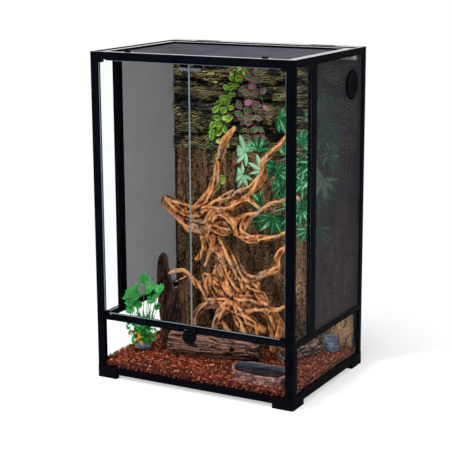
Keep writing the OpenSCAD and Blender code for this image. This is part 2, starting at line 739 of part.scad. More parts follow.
// One mitred bar of the lid, drawn along X for the front, from -half to half
module lid_bar(half) {
    intersection() {
        translate([-half, 0, 0]) difference() {
            cube([2 * half, lid_bar_w, lid_t]);
            translate([-1, lid_bar_w - 6, 0.8]) cube([2 * half + 2, 7, mesh_t + 0.4]);
        }
        linear_extrude(lid_t + 2) polygon([[-half, 0], [half, 0], [half - lid_bar_w, lid_bar_w], [-half + lid_bar_w, lid_bar_w]]);
    }
}

// Mitred frame with a rolled rear edge about the hinge axis and a lug for each clip
module lid_frame() color(frame_black) translate([0, mid_y, 0]) {
    lid_mid = (lid_front + lid_axis_y) / 2;
    difference() {
        union() {
            translate([0, lid_front, lid_z]) lid_bar(lid_x);
            translate([0, lid_axis_y, lid_z]) mirror([0, 1, 0]) lid_bar(lid_x);
            both_sides() translate([-lid_x, lid_mid, lid_z]) rotate([0, 0, -90])
                lid_bar((lid_axis_y - lid_front) / 2);
            translate([-lid_x, lid_axis_y, lid_axis_z]) rotate([0, 90, 0])
                cylinder(r = lid_t / 2, h = 2 * lid_x, $fn = 48);
            for (sx = [-1, 1])
                translate([sx * clip_x - clip_lug_w / 2, clip_y - 6, lid_z + clip_lug_z])
                    cube([clip_lug_w, clip_lug_d, lid_t - clip_lug_z]);
        }
        for (sx = [-1, 1]) {
            translate([sx * clip_x, clip_y, lid_z - 1])
                cylinder(r = clip_stem_r + pivot_fit, h = lid_t + 2, $fn = 32);
            translate([sx * (lid_x - 6), lid_axis_y, lid_axis_z]) rotate([0, 90, 0])
                cylinder(r = lid_pin_r, h = 14, center = true, $fn = 32);
        }
    }
}

module lid_mesh() color(mesh_grey) translate([0, mid_y, lid_z + 1]) linear_extrude(mesh_t) {
    hidden = 5.5;
    inset = lid_bar_w - hidden;
    area = [2 * (lid_x - inset), lid_axis_y - lid_front - 2 * inset];
    difference() {
        translate([-lid_x + inset, lid_front + inset]) difference() {
            square(area);
            translate([hidden, hidden]) openings(area - 2 * [hidden, hidden], lid_mesh_cells, lid_mesh_bar);
        }
        for (sx = [-1, 1]) translate([sx * clip_x, clip_y]) circle(r = clip_stem_r + 0.5, $fn = 32);
    }
}

module lid_pins() color(steel) translate([0, mid_y, 0]) both_sides()
    translate([-lid_x - lid_pin_l + 0.3, lid_axis_y, lid_axis_z]) rotate([0, 90, 0])
        cylinder(r = lid_pin_r, h = lid_pin_l + 10, $fn = 32);

// Quarter-turn clip: knob above the lid, stem through it, arm below the ledge
module lid_clip(arm_side) {
    arm_top = top_rail_z - 0.6;
    translate([0, 0, lid_z + lid_t + 0.2]) {
        cylinder(r = clip_r, h = clip_knob_t - 1.8, $fn = 48);
        translate([-clip_r + 1, -1.8, 0]) cube([2 * clip_r - 2, 3.6, clip_knob_t]);
    }
    translate([0, 0, arm_top - clip_arm_t]) cylinder(r = clip_stem_r, h = lid_z + lid_t + 0.5 - arm_top + clip_arm_t, $fn = 32);
    translate([0, 0, arm_top - clip_arm_t]) flip_x(arm_side < 0) {
        cylinder(r = clip_arm_w / 2, h = clip_arm_t, $fn = 32);
        translate([0, -clip_arm_w / 2, 0]) cube([clip_arm_l, clip_arm_w, clip_arm_t]);
    }
}

module lid_clip_left() color(frame_black) translate([-clip_x, mid_y + clip_y, 0]) lid_clip(1);
module lid_clip_right() color(frame_black) translate([clip_x, mid_y + clip_y, 0]) lid_clip(-1);

// Sliding shutter with a ribbed thumb grip, in its recess on the rear rail
module shutter() {
    translate([-shutter_l / 2, -inlet_w / 2 - shutter_rim + slide_gap, 0.1])
        cube([shutter_l, inlet_w + 2 * shutter_rim - 2 * slide_gap, shutter_t]);
    for (i = [-1:1]) translate([i * 5 - 1, -inlet_w / 2, 0.1]) cube([2, inlet_w, shutter_t + 1.2]);
}

module inlet_shutter_left() color([0.10, 0.10, 0.12])
    translate([-inlet_x, mid_y + inlet_y, cabinet_h - recess_d]) shutter();
module inlet_shutter_right() color([0.10, 0.10, 0.12])
    translate([inlet_x, mid_y + inlet_y, cabinet_h - recess_d]) shutter();

// ---- Back wall ---------------------------------------------------------------------------

// Section of a wall panel from x0 to x1 whose face follows a relief function's list of depths
module wall_section(x0, x1, face) {
    step = (x1 - x0) / (len(face) - 1);
    post_edge = fx - post_w - rest_gap;
    back0 = max(x0, -post_edge);
    back1 = min(x1, post_edge);
    polygon(concat(
        [for (i = [0:len(face) - 1]) [x0 + i * step, wall_face - face[i]]],
        [[x1, wall_face], [back1, wall_face], [back1, wall_back],
         [back0, wall_back], [back0, wall_face], [x0, wall_face]]));
}

// Depth of the layered rock at x, for layer i: ledges that step in and out
function rock_depth(x, i) = wall_relief * (0.80 + 0.22 * sin(i * 137) + 0.20 * sin(x * 0.9 + i * 50)
    + 0.14 * sin(x * 2.3 + i * 83));

// Depth of the cork at x: broad ridges split by narrow fissures
function cork_depth(x, i) = wall_relief * (0.70 + 0.16 * sin(x * 2.1 + i * 31) + 0.12 * sin(x * 5.7 + i * 12))
    - 7 * pow(abs(sin(x * 2.9 + i * 14)), 12);

module rock_panel() color([0.20, 0.20, 0.17]) translate([0, mid_y, 0]) {
    layers = 14;
    layer_h = (rock_top - rock_z) / layers;
    points = 24;
    for (i = [0:layers - 1]) translate([0, 0, rock_z + i * layer_h]) linear_extrude(layer_h)
        wall_section(-panel_x, panel_x, [for (k = [0:points]) rock_depth(-panel_x + 2 * panel_x * k / points, i)]);
}

module cork_panels() color([0.42, 0.30, 0.20]) translate([0, mid_y, 0]) {
    seams = [-panel_x, -0.30 * panel_x, 0.36 * panel_x, panel_x];
    bands = 4;
    points = 26;
    band_h = (rock_z - rest_gap - ground) / bands;
    for (p = [0:2], i = [0:bands - 1]) {
        x0 = seams[p] + (p > 0 ? 0.5 : 0);
        x1 = seams[p + 1] - (p < 2 ? 0.5 : 0);
        translate([0, 0, ground + i * band_h]) linear_extrude(band_h)
            wall_section(x0, x1, [for (k = [0:points]) cork_depth(x0 + (x1 - x0) * k / points, i + 5 * p)]);
    }
}

// ---- Floor and furnishing ----------------------------------------------------------------

module bark_floor() color([0.45, 0.16, 0.10]) translate([0, mid_y, 0]) {
    low_x = fx - rail_t - 1;
    low_y = fy - rail_t - 1;
    high_y = fy - profile_wall - groove_w - 1;
    shoulder = rail_lift + side_bottom_rail_h + rest_gap;
    translate([-low_x, -low_y, pan_top + rest_gap]) cube([2 * low_x, 2 * low_y, shoulder - pan_top - rest_gap]);
    difference() {
        translate([-inner_x, -high_y, shoulder]) cube([2 * inner_x, 2 * high_y, floor_z - shoulder]);
        for (sx = [-1, 1], sy = [-1, 1]) at_corner(sx, sy) translate([-1, -1, 0])
            cube([post_w + 1 + rest_gap, front_lip + 1 + rest_gap, floor_z + 1]);
    }
}

// A point of the layout, moved in proportion to the cabinet's width, depth and planted height
function lay_x(x) = x * cabinet_w / layout_w;
function lay_y(y) = y * cabinet_d / layout_d;
function lay_z(z) = ground + (z - layout_ground) * (rock_top - ground) / layout_rise;
function lay(p) = [lay_x(p[0]), lay_y(p[1]), lay_z(p[2])];

// A point above the rock's top edge, for a stem of radius r that rests on it
function on_rock(x, y, r) = [lay_x(x), lay_y(y), rock_top + rest_gap + r - 0.1];

// Branch: tapered limb through layout points [x, y, z, radius]
module branch(points) {
    for (i = [0:len(points) - 2]) hull() for (p = [points[i], points[i + 1]])
        translate(lay(p)) sphere(r = p[3], $fn = 7);
}

// Root wood: a bare trunk on a fan of roots, with limbs that reach up to both sides
module driftwood() color(wood_tan) translate([0, mid_y, 0]) difference() {
    union() {
        branch([[-235, 45, 465, 11], [-205, 50, 450, 13], [-165, 60, 425, 19]]);
        branch([[-165, 60, 430, 15], [-120, 65, 470, 11], [-90, 75, 530, 9], [-85, 80, 585, 7],
            [-55, 70, 655, 6], [-20, 60, 690, 4]]);
        branch([[-165, 60, 425, 19], [-110, 60, 420, 20], [-60, 55, 440, 17], [5, 55, 485, 14],
            [45, 55, 525, 13], [75, 55, 560, 10], [72, 50, 600, 8], [90, 50, 622, 8], [120, 55, 645, 8],
            [155, 60, 690, 6]]);
        branch([[40, 60, 515, 8], [65, 68, 535, 7], [92, 78, 550, 4]]);
        branch([[32, 52, 442, 7], [60, 46, 452, 6], [85, 40, 475, 5], [110, 40, 485, 4], [155, 45, 510, 4], [185, 50, 505, 3]]);
        branch([[30, 55, 440, 12], [8, 45, 388, 10], [40, 40, 378, 8], [80, 40, 388, 8], [115, 45, 388, 7],
            [150, 55, 410, 5]]);
        branch([[-110, 60, 420, 18], [-70, 60, 408, 17], [-35, 60, 412, 15], [30, 58, 440, 13]]);
        branch([[-115, 50, 390, 6], [-130, 40, 380, 5], [-152, 35, 386, 3]]);
        branch([[-112, 60, 400, 14], [-95, 65, 360, 17], [-70, 65, 325, 22], [-35, 60, 295, 21],
            [-8, 55, 265, 19], [10, 50, 248, 17]]);
        branch([[-120, 60, 390, 9], [-114, 60, 335, 10], [-140, 50, 300, 5]]);
        branch([[10, 50, 250, 12], [45, 50, 262, 9], [80, 45, 280, 8], [118, 45, 296, 8], [130, 45, 312, 7],
            [120, 45, 332, 6], [132, 45, 352, 6], [155, 50, 375, 4]]);
        branch([[-85, 40, 185, 8], [-105, 38, 200, 8], [-125, 30, 230, 7], [-150, 22, 255, 6],
            [-168, 18, 266, 5], [-208, 8, 260, 4], [-215, 4, 245, 3]]);
        branch([[-152, 22, 255, 4], [-185, 10, 235, 3], [-200, 4, 230, 3]]);
        branch([[-95, 40, 248, 11], [-100, 40, 222, 13], [-90, 40, 195, 12]]);
        branch([[-40, 50, 290, 10], [-35, 40, 245, 8], [-25, 38, 225, 9]]);
        branch([[-75, 50, 282, 6], [-80, 50, 255, 7], [-90, 45, 210, 7]]);
        branch([[0, 50, 275, 9], [25, 42, 258, 8], [25, 40, 240, 8], [45, 40, 195, 10]]);
        branch([[30, 50, 262, 8], [65, 45, 250, 7], [55, 45, 220, 7], [95, 45, 175, 12], [120, 45, 150, 14],
            [134, 45, 120, 14], [136, 45, 45, 12]]);
        branch([[-45, 40, 238, 12], [-20, 38, 212, 13], [15, 38, 205, 12], [50, 40, 190, 12]]);
        branch([[30, 32, 165, 7], [65, 25, 180, 7], [100, 25, 180, 6], [125, 30, 186, 5], [155, 35, 196, 4]]);
        branch([[-50, 35, 175, 12], [-80, 30, 172, 11], [-105, 25, 165, 10], [-128, 20, 140, 10],
            [-134, 16, 105, 10], [-135, 16, 45, 9]]);
        branch([[-95, 40, 185, 10], [-50, 36, 190, 13], [-5, 36, 190, 13], [50, 40, 190, 11]]);
        branch([[-30, 30, 185, 9], [-25, 24, 165, 9], [-58, 18, 140, 10], [-65, 18, 115, 10], [-48, 20, 45, 9]]);
        branch([[-5, 36, 190, 9], [0, 30, 155, 9], [28, 24, 115, 12], [75, 30, 45, 11]]);
        branch([[20, 36, 168, 12], [45, 32, 140, 12], [62, 32, 100, 10]]);
        branch([[60, 42, 185, 9], [95, 55, 150, 10], [108, 60, 45, 10]]);
        branch([[-20, 40, 190, 11], [-15, 60, 130, 12], [-25, 70, 45, 12]]);
        branch([[-108, 46, 443, 13], [-62, 46, 453, 14], [-32, 46, 435, 12], [-9, 46, 414, 10], [-3, 46, 386, 8]]);
        branch([[-92, 52, 402, 11], [-52, 52, 392, 12], [-16, 52, 407, 9], [12, 52, 388, 8]]);
        branch([[-104, 44, 447, 8], [-54, 44, 480, 8], [-18, 44, 503, 7], [14, 44, 514, 6], [38, 50, 524, 7]]);
        branch([[-164, 62, 385, 10], [-137, 62, 425, 9], [-107, 62, 463, 7]]);
        branch([[-91, 38, 386, 4], [-78, 38, 425, 4], [-55, 42, 447, 3]]);
        branch([[-240, 40, 464, 9], [-202, 40, 424, 9], [-158, 40, 384, 9], [-130, 52, 400, 9]]);
        branch([[-107, 44, 249, 10], [-77, 44, 232, 13], [-54, 44, 208, 10]]);
        branch([[-78, 28, 189, 8], [-32, 28, 186, 9], [13, 28, 163, 9], [55, 28, 134, 8]]);
        branch([[-37, 24, 184, 8], [-53, 24, 139, 8], [-20, 24, 100, 9]]);
        branch([[9, 36, 189, 9], [38, 36, 153, 10], [83, 36, 116, 9]]);
        branch([[-23, 40, 276, 8], [-6, 40, 232, 8], [7, 40, 188, 9]]);
        branch([[-54, 44, 289, 12], [-31, 44, 240, 10], [-38, 44, 193, 9]]);
        branch([[12, 48, 502, 8], [41, 48, 485, 7], [73, 48, 462, 5]]);
        branch([[39, 40, 235, 7], [77, 40, 219, 7], [103, 40, 182, 7], [115, 40, 133, 8]]);
        branch([[-81, 44, 339, 7], [-97, 44, 314, 6], [-110, 44, 280, 4]]);
    }
    translate([-cabinet_w / 2, -cabinet_d / 2, 0]) cube([cabinet_w, cabinet_d, ground]);
}

// Flat slab of bark that leans back with its foot on the floor
module bark_slab() color([0.22, 0.12, 0.09]) translate([0, mid_y, 0]) difference() {
    thick = 14;
    lean = 16;
    translate([0, lay_y(-18), ground - 2]) rotate([-lean, 0, 0]) translate([0, thick / 2, -8]) rotate([90, 0, 0])
        linear_extrude(thick) polygon([for (p = [[-212, 0], [-140, 0], [-146, 60], [-157, 112], [-168, 165],
            [-207, 178], [-228, 222], [-240, 258], [-256, 274], [-268, 264], [-272, 240], [-262, 172], [-240, 90]])
            [lay_x(p[0]), p[1]]]);
    translate([-cabinet_w / 2, -cabinet_d / 2, 0]) cube([cabinet_w / 2, cabinet_d, ground]);
}

// Hollow-ended log with lengthwise ribs and a knot hole, lying on a flat underside
module ribbed_log() color([0.36, 0.22, 0.17]) translate([lay_x(-18), mid_y + lay_y(-60), ground]) rotate([0, 0, 10.7])
difference() {
    translate([0, 0, log_r * 0.94]) rotate([90, 0, 90]) linear_extrude(270, center = true) difference() {
        polygon([for (k = [0:47]) let (a = k * 7.5, r = log_r * (0.965 + 0.035 * (k % 2 == 0 ? 1 : -1)
            + 0.02 * sin(k * 71))) [r * cos(a), r * sin(a) * 0.94]]);
        circle(r = log_r * 0.62, $fn = 48);
    }
    translate([58, -log_r, log_r * 1.1]) rotate([70, 0, 0]) cylinder(r = 7, h = 60, center = true, $fn = 32);
    translate([-200, -100, -100]) cube([400, 200, 100]);
}

module grey_log() color([0.33, 0.29, 0.26]) translate([cabinet_w / 2 - 114, mid_y + 42, ground]) rotate([0, 0, 67])
difference() {
    translate([0, 0, 22]) rotate([90, 0, 90]) linear_extrude(136, center = true)
        polygon([for (k = [0:19]) let (a = k * 18, r = 23 + 1.2 * sin(k * 97)) [r * cos(a), r * sin(a)]]);
    translate([-200, -100, -100]) cube([400, 200, 100]);
}

module slate() color([0.26, 0.30, 0.36]) translate([cabinet_w / 2 - 63, mid_y + 143, ground]) rotate([0, 0, -14])
    for (t = [[0, 44, 34], [1, 40, 30], [2, 34, 27]])
        translate([t[0] * 2, 0, t[0] * 16]) linear_extrude(16) polygon([[-t[1] / 2, -t[2] / 2 + 3],
            [0, -t[2] / 2], [t[1] / 2, -t[2] / 2 + 6], [t[1] / 2 - 3, t[2] / 2], [-t[1] / 2 + 6, t[2] / 2]]);

// Outline of the dish, scaled by its two half axes, with a lobed rim
function dish_outline(a, b) = [for (k = [0:35]) let (t = k * 10, w = 1 + 0.05 * sin(3 * t + 20) + 0.03 * sin(5 * t))
    [a * w * cos(t), b * w * sin(t)]];
module at_dish() {
    translate([cabinet_w / 2 - 120, mid_y - cabinet_d / 2 + 58, ground]) rotate([0, 0, 6]) children();
}

module water_dish() color([0.36, 0.27, 0.28]) at_dish() difference() {
    union() {
        linear_extrude(dish_h * 0.35) polygon(dish_outline(dish_a, dish_b));
        translate([0, 0, dish_h * 0.35]) linear_extrude(dish_h * 0.35) polygon(dish_outline(dish_a * 0.97, dish_b * 0.95));
        translate([0, 0, dish_h * 0.7]) linear_extrude(dish_h * 0.3) polygon(dish_outline(dish_a * 0.93, dish_b * 0.89));
    }
    translate([0, 0, dish_floor_t]) linear_extrude(dish_h) polygon(dish_outline(dish_a * 0.78, dish_b * 0.68));
}

module water() color([0.25, 0.24, 0.27, 0.6]) at_dish() translate([0, 0, dish_floor_t + 0.1])
    linear_extrude(dish_h * 0.35) polygon(dish_outline(dish_a * 0.775, dish_b * 0.67));

// ---- Foliage -----------------------------------------------------------------------------

// Thin stem through points, in world coordinates
module stem(points, r) {
    for (i = [0:len(points) - 2]) hull() for (p = [points[i], points[i + 1]])
        translate(p) sphere(r = r, $fn = 5);
}

module leaf_shape(l, w) {
    polygon([[-1, -1], [l * 0.3, -w / 2], [l * 0.65, -w * 0.42], [l, 0], [l * 0.65, w * 0.42], [l * 0.3, w / 2], [-1, 1]]);
}

// Fan of seven leaflets that faces up before it is tilted and turned
module palm_leaf(at, tilt, turn, size) {
    translate(at) rotate([tilt, 0, turn]) for (i = [-3:3]) rotate([0, 0, 90 + i * 38])
        linear_extrude(leaf_t) leaf_shape(size * (1 - 0.09 * abs(i)), size * 0.26);
}

module oval_leaf(at, tilt, turn, size) {
    translate(at) rotate([0, 0, turn]) rotate([tilt, 0, 0]) linear_extrude(leaf_t) leaf_shape(size, size * 0.55);
}

// Round-leaved plant in a stone base, set against the left wall
module pot_plant() color(leaf_green) translate([lay_x(-240), mid_y + lay_y(-92), ground]) {
    // Each leaf: its place from the middle of the base, then its radius
    leaves = [[24, -23, 218, 16], [49, -28, 200, 14], [80, -33, 199, 15], [-28, -16, 171, 13], [-5, -26, 166, 15],
        [-29, -20, 143, 13], [-24, -28, 122, 13], [48, -26, 162, 14], [62, -24, 140, 12]];
    base_h = 30;
    cylinder(r1 = 27, r2 = 20, h = base_h, $fn = 11);
    for (l = leaves) {
        stem([[l[0] * 0.2, -6, base_h - 4], [l[0] * 2 / 3, l[1] + 4, l[2] * 0.62], [l[0], l[1], l[2]]], 1.4);
        translate([l[0], l[1], l[2] - leaf_t]) rotate([28, (l[0] + 10) * 0.3, 0]) cylinder(r = l[3], h = leaf_t * 2, $fn = 10);
    }
    for (k = [0:9]) stem([[-16 + k * 3.4, -8, base_h - 4], [-24 + k * 5.3, -16, 72 + 18 * sin(k * 77)]], 1.3);
}

// Vine with oval leaves that hangs over the rock's top edge
module hanging_vine() color([0.45, 0.62, 0.16]) translate([0, mid_y, 0]) {
    r = 1.8;
    run = concat([on_rock(-30, 196, r), on_rock(-30, 152, r)], [for (p = [[-34, 146, 832], [-80, 146, 746],
        [-104, 146, 680], [-114, 146, 628], [-112, 144, 562], [-96, 144, 480]]) lay(p)]);
    side_run = concat([on_rock(20, 196, r), on_rock(20, 152, r)], [for (p = [[10, 146, 828], [20, 144, 752],
        [5, 142, 690], [0, 140, 650]]) lay(p)]);
    stem(run, r);
    stem(side_run, r);
    stem([on_rock(30, 192, r), on_rock(-40, 192, r)], r);
    for (i = [2:len(run) - 1], turn = [-20, 160]) oval_leaf(run[i] + [0, -1, 0], 78, turn, 30);
    for (i = [2:len(run) - 2]) oval_leaf((run[i] + run[i + 1]) / 2 + [0, -1, 0], 70, i % 2 == 0 ? -35 : 200, 28);
    for (i = [2:len(side_run) - 1], s = [[0, -25, 28], [4, 205, 28], [8, 60, 16]])
        oval_leaf(side_run[i] + [0, -1, s[0]], 75, s[1], s[2]);
}

// Broad fans of leaflets on stalks from a stem at the right
module broadleaf_vine() color(leaf_green) translate([0, mid_y, 0]) {
    r = 2;
    run = concat([on_rock(205, 196, r), on_rock(205, 150, r)], [for (p = [[208, 140, 818], [205, 128, 720],
        [190, 122, 640], [170, 118, 560], [150, 112, 480]]) lay(p)]);
    // Each fan: place, tilt, turn, size and the stem joint that it grows from
    fans = [[[30, 100, 600], 70, 12, 46, 5], [[28, 96, 545], 65, -30, 44, 5], [[105, 112, 575], 70, 10, 46, 5],
        [[90, 112, 445], 66, -15, 48, 6], [[188, 95, 590], 72, 20, 48, 5], [[180, 92, 442], 68, 0, 50, 6],
        [[240, 92, 652], 70, 40, 44, 4], [[240, 100, 522], 66, 30, 44, 5], [[235, 100, 740], 70, 20, 42, 3]];
    stem(run, r);
    for (f = fans) {
        at = lay(f[0]);
        stem([run[f[4]], (run[f[4]] + at) / 2 + [0, -4, 8], at], 1.6);
        palm_leaf(at, f[1], f[2], f[3]);
    }
}

foot_front_left();
foot_front_right();
foot_rear_left();
foot_rear_right();
post_front_left();
post_front_right();
post_rear_left();
post_rear_right();
top_corners();
corner_screws();
bottom_rail_front();
bottom_rail_rear();
bottom_rails_side();
middle_rail_front();
middle_rails_side();
side_mullions();
top_rail_front();
top_rail_rear();
top_rails_side();
base_pan();
lower_glass_front();
lower_glass_sides();
side_glass_strips();
rear_glass();
side_mesh_left();
side_mesh_right();
port_ring();
port_clamp_ring();
port_cover();
door_glass_left();
door_hinges_left();
door_strike_left();
door_glass_right();
door_hinges_right();
door_strike_right();
magnet_holders();
latch_housing();
latch_screws();
latch_bolt();
latch_knob();
lid_frame();
lid_mesh();
lid_pins();
lid_clip_left();
lid_clip_right();
inlet_shutter_left();
inlet_shutter_right();
rock_panel();
cork_panels();
bark_floor();
driftwood();
bark_slab();
ribbed_log();
grey_log();
slate();
water_dish();
water();
pot_plant();
hanging_vine();
broadleaf_vine();
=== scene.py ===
"""Dresses the packed frame of a tall reptile terrarium: finishes, woven mesh, bark, rock, root wood and plants."""
import math
import random

import bpy
import numpy as np
from mathutils import Matrix, Vector


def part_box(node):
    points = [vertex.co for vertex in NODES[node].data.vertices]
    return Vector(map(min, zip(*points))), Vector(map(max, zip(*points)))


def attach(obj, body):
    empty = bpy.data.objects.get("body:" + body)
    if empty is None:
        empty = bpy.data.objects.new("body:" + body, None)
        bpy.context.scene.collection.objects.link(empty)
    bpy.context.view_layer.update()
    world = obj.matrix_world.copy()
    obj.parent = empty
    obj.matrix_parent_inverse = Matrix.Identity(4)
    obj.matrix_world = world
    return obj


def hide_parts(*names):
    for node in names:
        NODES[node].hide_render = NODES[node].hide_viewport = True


bl_info = {
    "name": "Reptile terrarium",
    "version": (1, 0, 0),
    "blender": (4, 5, 0),
    "location": "View3D > Sidebar > Terrarium",
    "description": "Furnishes and finishes a glass terrarium with mesh sides and a screen lid",
    "category": "Object",
}

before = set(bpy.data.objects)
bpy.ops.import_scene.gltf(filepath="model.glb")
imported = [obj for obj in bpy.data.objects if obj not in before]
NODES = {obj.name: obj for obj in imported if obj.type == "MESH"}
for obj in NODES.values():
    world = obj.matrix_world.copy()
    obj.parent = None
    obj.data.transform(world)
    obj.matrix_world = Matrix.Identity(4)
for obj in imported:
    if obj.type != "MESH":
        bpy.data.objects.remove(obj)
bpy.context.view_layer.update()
MM = 0.001
# The cabinet's own middle on Y: the origin is under the middle of the whole piece, with the knob in front
MID_Y = 0.00625


# ---- Colour, selection and small tools ------------------------------------------------------

def rgb(red, green, blue):
    """Linear colour from the 0 to 255 values that a screen shows."""
    out = []
    for value in (red, green, blue):
        v = value / 255
        out.append(v / 12.92 if v <= 0.04045 else ((v + 0.055) / 1.055) ** 2.4)
    return tuple(out)


def pick(obj):
    """Makes obj the only selected and active object."""
    bpy.ops.object.select_all(action="DESELECT")
    obj.select_set(True)
    bpy.context.view_layer.objects.active = obj


def primitive(kind, name, **values):
    """A new mesh primitive, with nothing else selected."""
    bpy.ops.object.select_all(action="DESELECT")
    getattr(bpy.ops.mesh, f"primitive_{kind}_add")(**values)
    obj = bpy.context.object
    obj.name = name
    return obj


def linked(name, data):
    """A new object for the data, in the scene."""
    obj = bpy.data.objects.new(name, data)
    bpy.context.collection.objects.link(obj)
    return obj


def settle(obj):
    """Puts the object's place, turn and size into its mesh."""
    pick(obj)
    bpy.ops.object.transform_apply(location=True, rotation=True, scale=True)


def modify(obj, kind, **values):
    """Adds a modifier with its values and applies it."""
    mod = obj.modifiers.new(kind.title(), kind)
    for key, value in values.items():
        setattr(mod, key, value)
    pick(obj)
    bpy.ops.object.modifier_apply(modifier=mod.name)


def edit(obj, *steps, faces=None):
    """Runs (operator, settings) pairs in edit mode, on the whole mesh or on the faces whose normal passes a test."""
    pick(obj)
    bpy.ops.object.mode_set(mode="EDIT")
    if faces:
        bpy.ops.mesh.select_mode(type="FACE")
        bpy.ops.mesh.select_all(action="DESELECT")
        bpy.ops.object.mode_set(mode="OBJECT")
        for face in obj.data.polygons:
            face.select = faces(face.normal)
        bpy.ops.object.mode_set(mode="EDIT")
    else:
        bpy.ops.mesh.select_all(action="SELECT")
    for step, values in steps:
        step(**values)
    bpy.ops.object.mode_set(mode="OBJECT")


def smooth(obj, angle=40):
    pick(obj)
    bpy.ops.object.shade_smooth_by_angle(angle=math.radians(angle))


def join(objects, name):
    """Joins the objects into one piece at the origin."""
    bpy.ops.object.select_all(action="DESELECT")
    for obj in objects:
        obj.select_set(True)
    bpy.context.view_layer.objects.active = objects[0]
    if len(objects) > 1:
        bpy.ops.object.join()
    piece = bpy.context.view_layer.objects.active
    piece.name = name
    settle(piece)
    return piece


def copy_of(template, matrix, tone=None):
    """A copy with its own mesh, placed by matrix. A tone is written on its points."""
    obj = linked(template.name, template.data.copy())
    obj.matrix_world = matrix
    if tone is not None:
        write(obj, "tone", tone)
    return obj


def drop(*objects):
    for obj in objects:
        bpy.data.objects.remove(obj)


def copy_of_node(node, name):
    """A merged copy of a CAD node's mesh, as a new piece."""
    obj = linked(name, NODES[node].data.copy())
    obj.data.materials.clear()
    edit(obj, (bpy.ops.mesh.remove_doubles, {"threshold": 0.00002}))
    return obj


def read(items, key, width, kind="f"):
    """A property of all points, faces or edges as an array with width columns."""
    out = np.empty(len(items) * width, kind)
    items.foreach_get(key, out)
    return out.reshape(-1, width)


def write(obj, name, values):
    """Writes one number on each point, the same one or a list."""
    layer = obj.data.attributes.get(name) or obj.data.attributes.new(name, "FLOAT", "POINT")
    layer.data.foreach_set("value", np.full(len(obj.data.vertices), values, dtype="f"))


def clouds(size, depth, detail=2):
    """A layer of soft noise for roughen."""
    return "CLOUDS", size, depth, {"noise_depth": detail}


def cells(size, depth, nearest=-1.0, second=1.0):
    """A layer of plates that are parted by cracks, for roughen."""
    return "VORONOI", size, depth, {"weight_1": nearest, "weight_2": second}


def roughen(obj, layers):
    """Pushes the surface in and out by layers of stretched noise: kind, size on each axis, depth and settings."""
    for kind, size, depth, settings in layers:
        texture = bpy.data.textures.new(kind, kind)
        texture.noise_scale = 1
        for key, value in settings.items():
            setattr(texture, key, value)
        bpy.ops.object.empty_add(location=(0, 0, 0))
        holder = bpy.context.object
        holder.scale = size
        bpy.context.view_layer.update()
        modify(obj, "DISPLACE", texture=texture, texture_coords="OBJECT",
               texture_coords_object=holder, strength=depth, mid_level=0.5)
        bpy.data.objects.remove(holder)
        bpy.data.textures.remove(texture)


def averaged(values, first, second, passes):
    """Averages a value on each point with those of its neighbours, along the edges from first to second."""
    size = len(values)
    neighbours = np.bincount(first, minlength=size) + np.bincount(second, minlength=size)
    for _ in range(passes):
        near = np.bincount(first, values[second], size) + np.bincount(second, values[first], size)
        values = 0.5 * values + 0.5 * near / np.maximum(neighbours, 1)
    return values


def skin(obj):
    """Places and normals of all points, as two arrays."""
    return read(obj.data.vertices, "co", 3), read(obj.data.vertex_normals, "vector", 3)


def write_relief(obj, raised, depth, crease):
    """Writes "relief" on each point, from 0 in the deepest hollow to 1 on the highest ridge, spread evenly by rank.

    It weighs how far the point was raised, as a share of depth, against how much the skin hollows round it.
    """
    at, normal = skin(obj)
    first, second = read(obj.data.edges, "vertices", 2, "i").T
    reach = at[second] - at[first]
    reach /= np.linalg.norm(reach, axis=1, keepdims=True) + 1e-9
    size = len(at)
    bend = (np.bincount(first, (reach * normal[first]).sum(1), size)
            - np.bincount(second, (reach * normal[second]).sum(1), size)) / 4
    # The hollow term is there for colour: materials that read relief paint shade into hollows and creases and light
    # onto ridges.
    hollow = averaged(bend, first, second, 2) + averaged(bend, first, second, 12)
    height = raised / depth - crease * 4 * hollow
    write(obj, "relief", np.argsort(np.argsort(height)) / size)


def move_points(obj, at):
    obj.data.vertices.foreach_set("co", at.ravel())
    obj.data.update()


def keep_inside(obj, low, high):
    """Flattens what stands out of the box from low to high."""
    move_points(obj, np.clip(read(obj.data.vertices, "co", 3), low, high))


def weather(obj, voxel, layers, angle=60, crease=0.6, smoothing=0):
    """Gives a piece an even skin, roughens it and writes its relief."""
    modify(obj, "REMESH", mode="VOXEL", voxel_size=voxel)
    if smoothing:
        modify(obj, "SMOOTH", factor=0.5, iterations=smoothing)
    before, normal = skin(obj)
    roughen(obj, layers)
    raised = ((read(obj.data.vertices, "co", 3) - before) * normal).sum(1)
    write_relief(obj, raised, max(sum(layer[2] for layer in layers) * 0.7, 1e-6), crease)
    smooth(obj, angle)
    return obj


def weathered(node, name, voxel, layers, angle=60, crease=0.6, grow=0.0, smoothing=0, hold=0.0, lumps=()):
    """A roughened copy of a CAD node, joined with any lumps, that keeps within the node's box, grown up and forwards.

    Points within hold of the box's sides, top and bottom are put onto them, so that the piece still fills its place.
    """
    obj = weather(join([copy_of_node(node, name), *lumps], name), voxel, layers, angle, crease, smoothing)
    low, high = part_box(node)
    if hold:
        at = read(obj.data.vertices, "co", 3)
        for axis in (0, 2):
            at[at[:, axis] < low[axis] + hold, axis] = low[axis]
            at[at[:, axis] > high[axis] - hold, axis] = high[axis]
        move_points(obj, at)
    keep_inside(obj, (low.x, low.y - grow, low.z), (high.x, high.y, high.z + grow))
    return obj


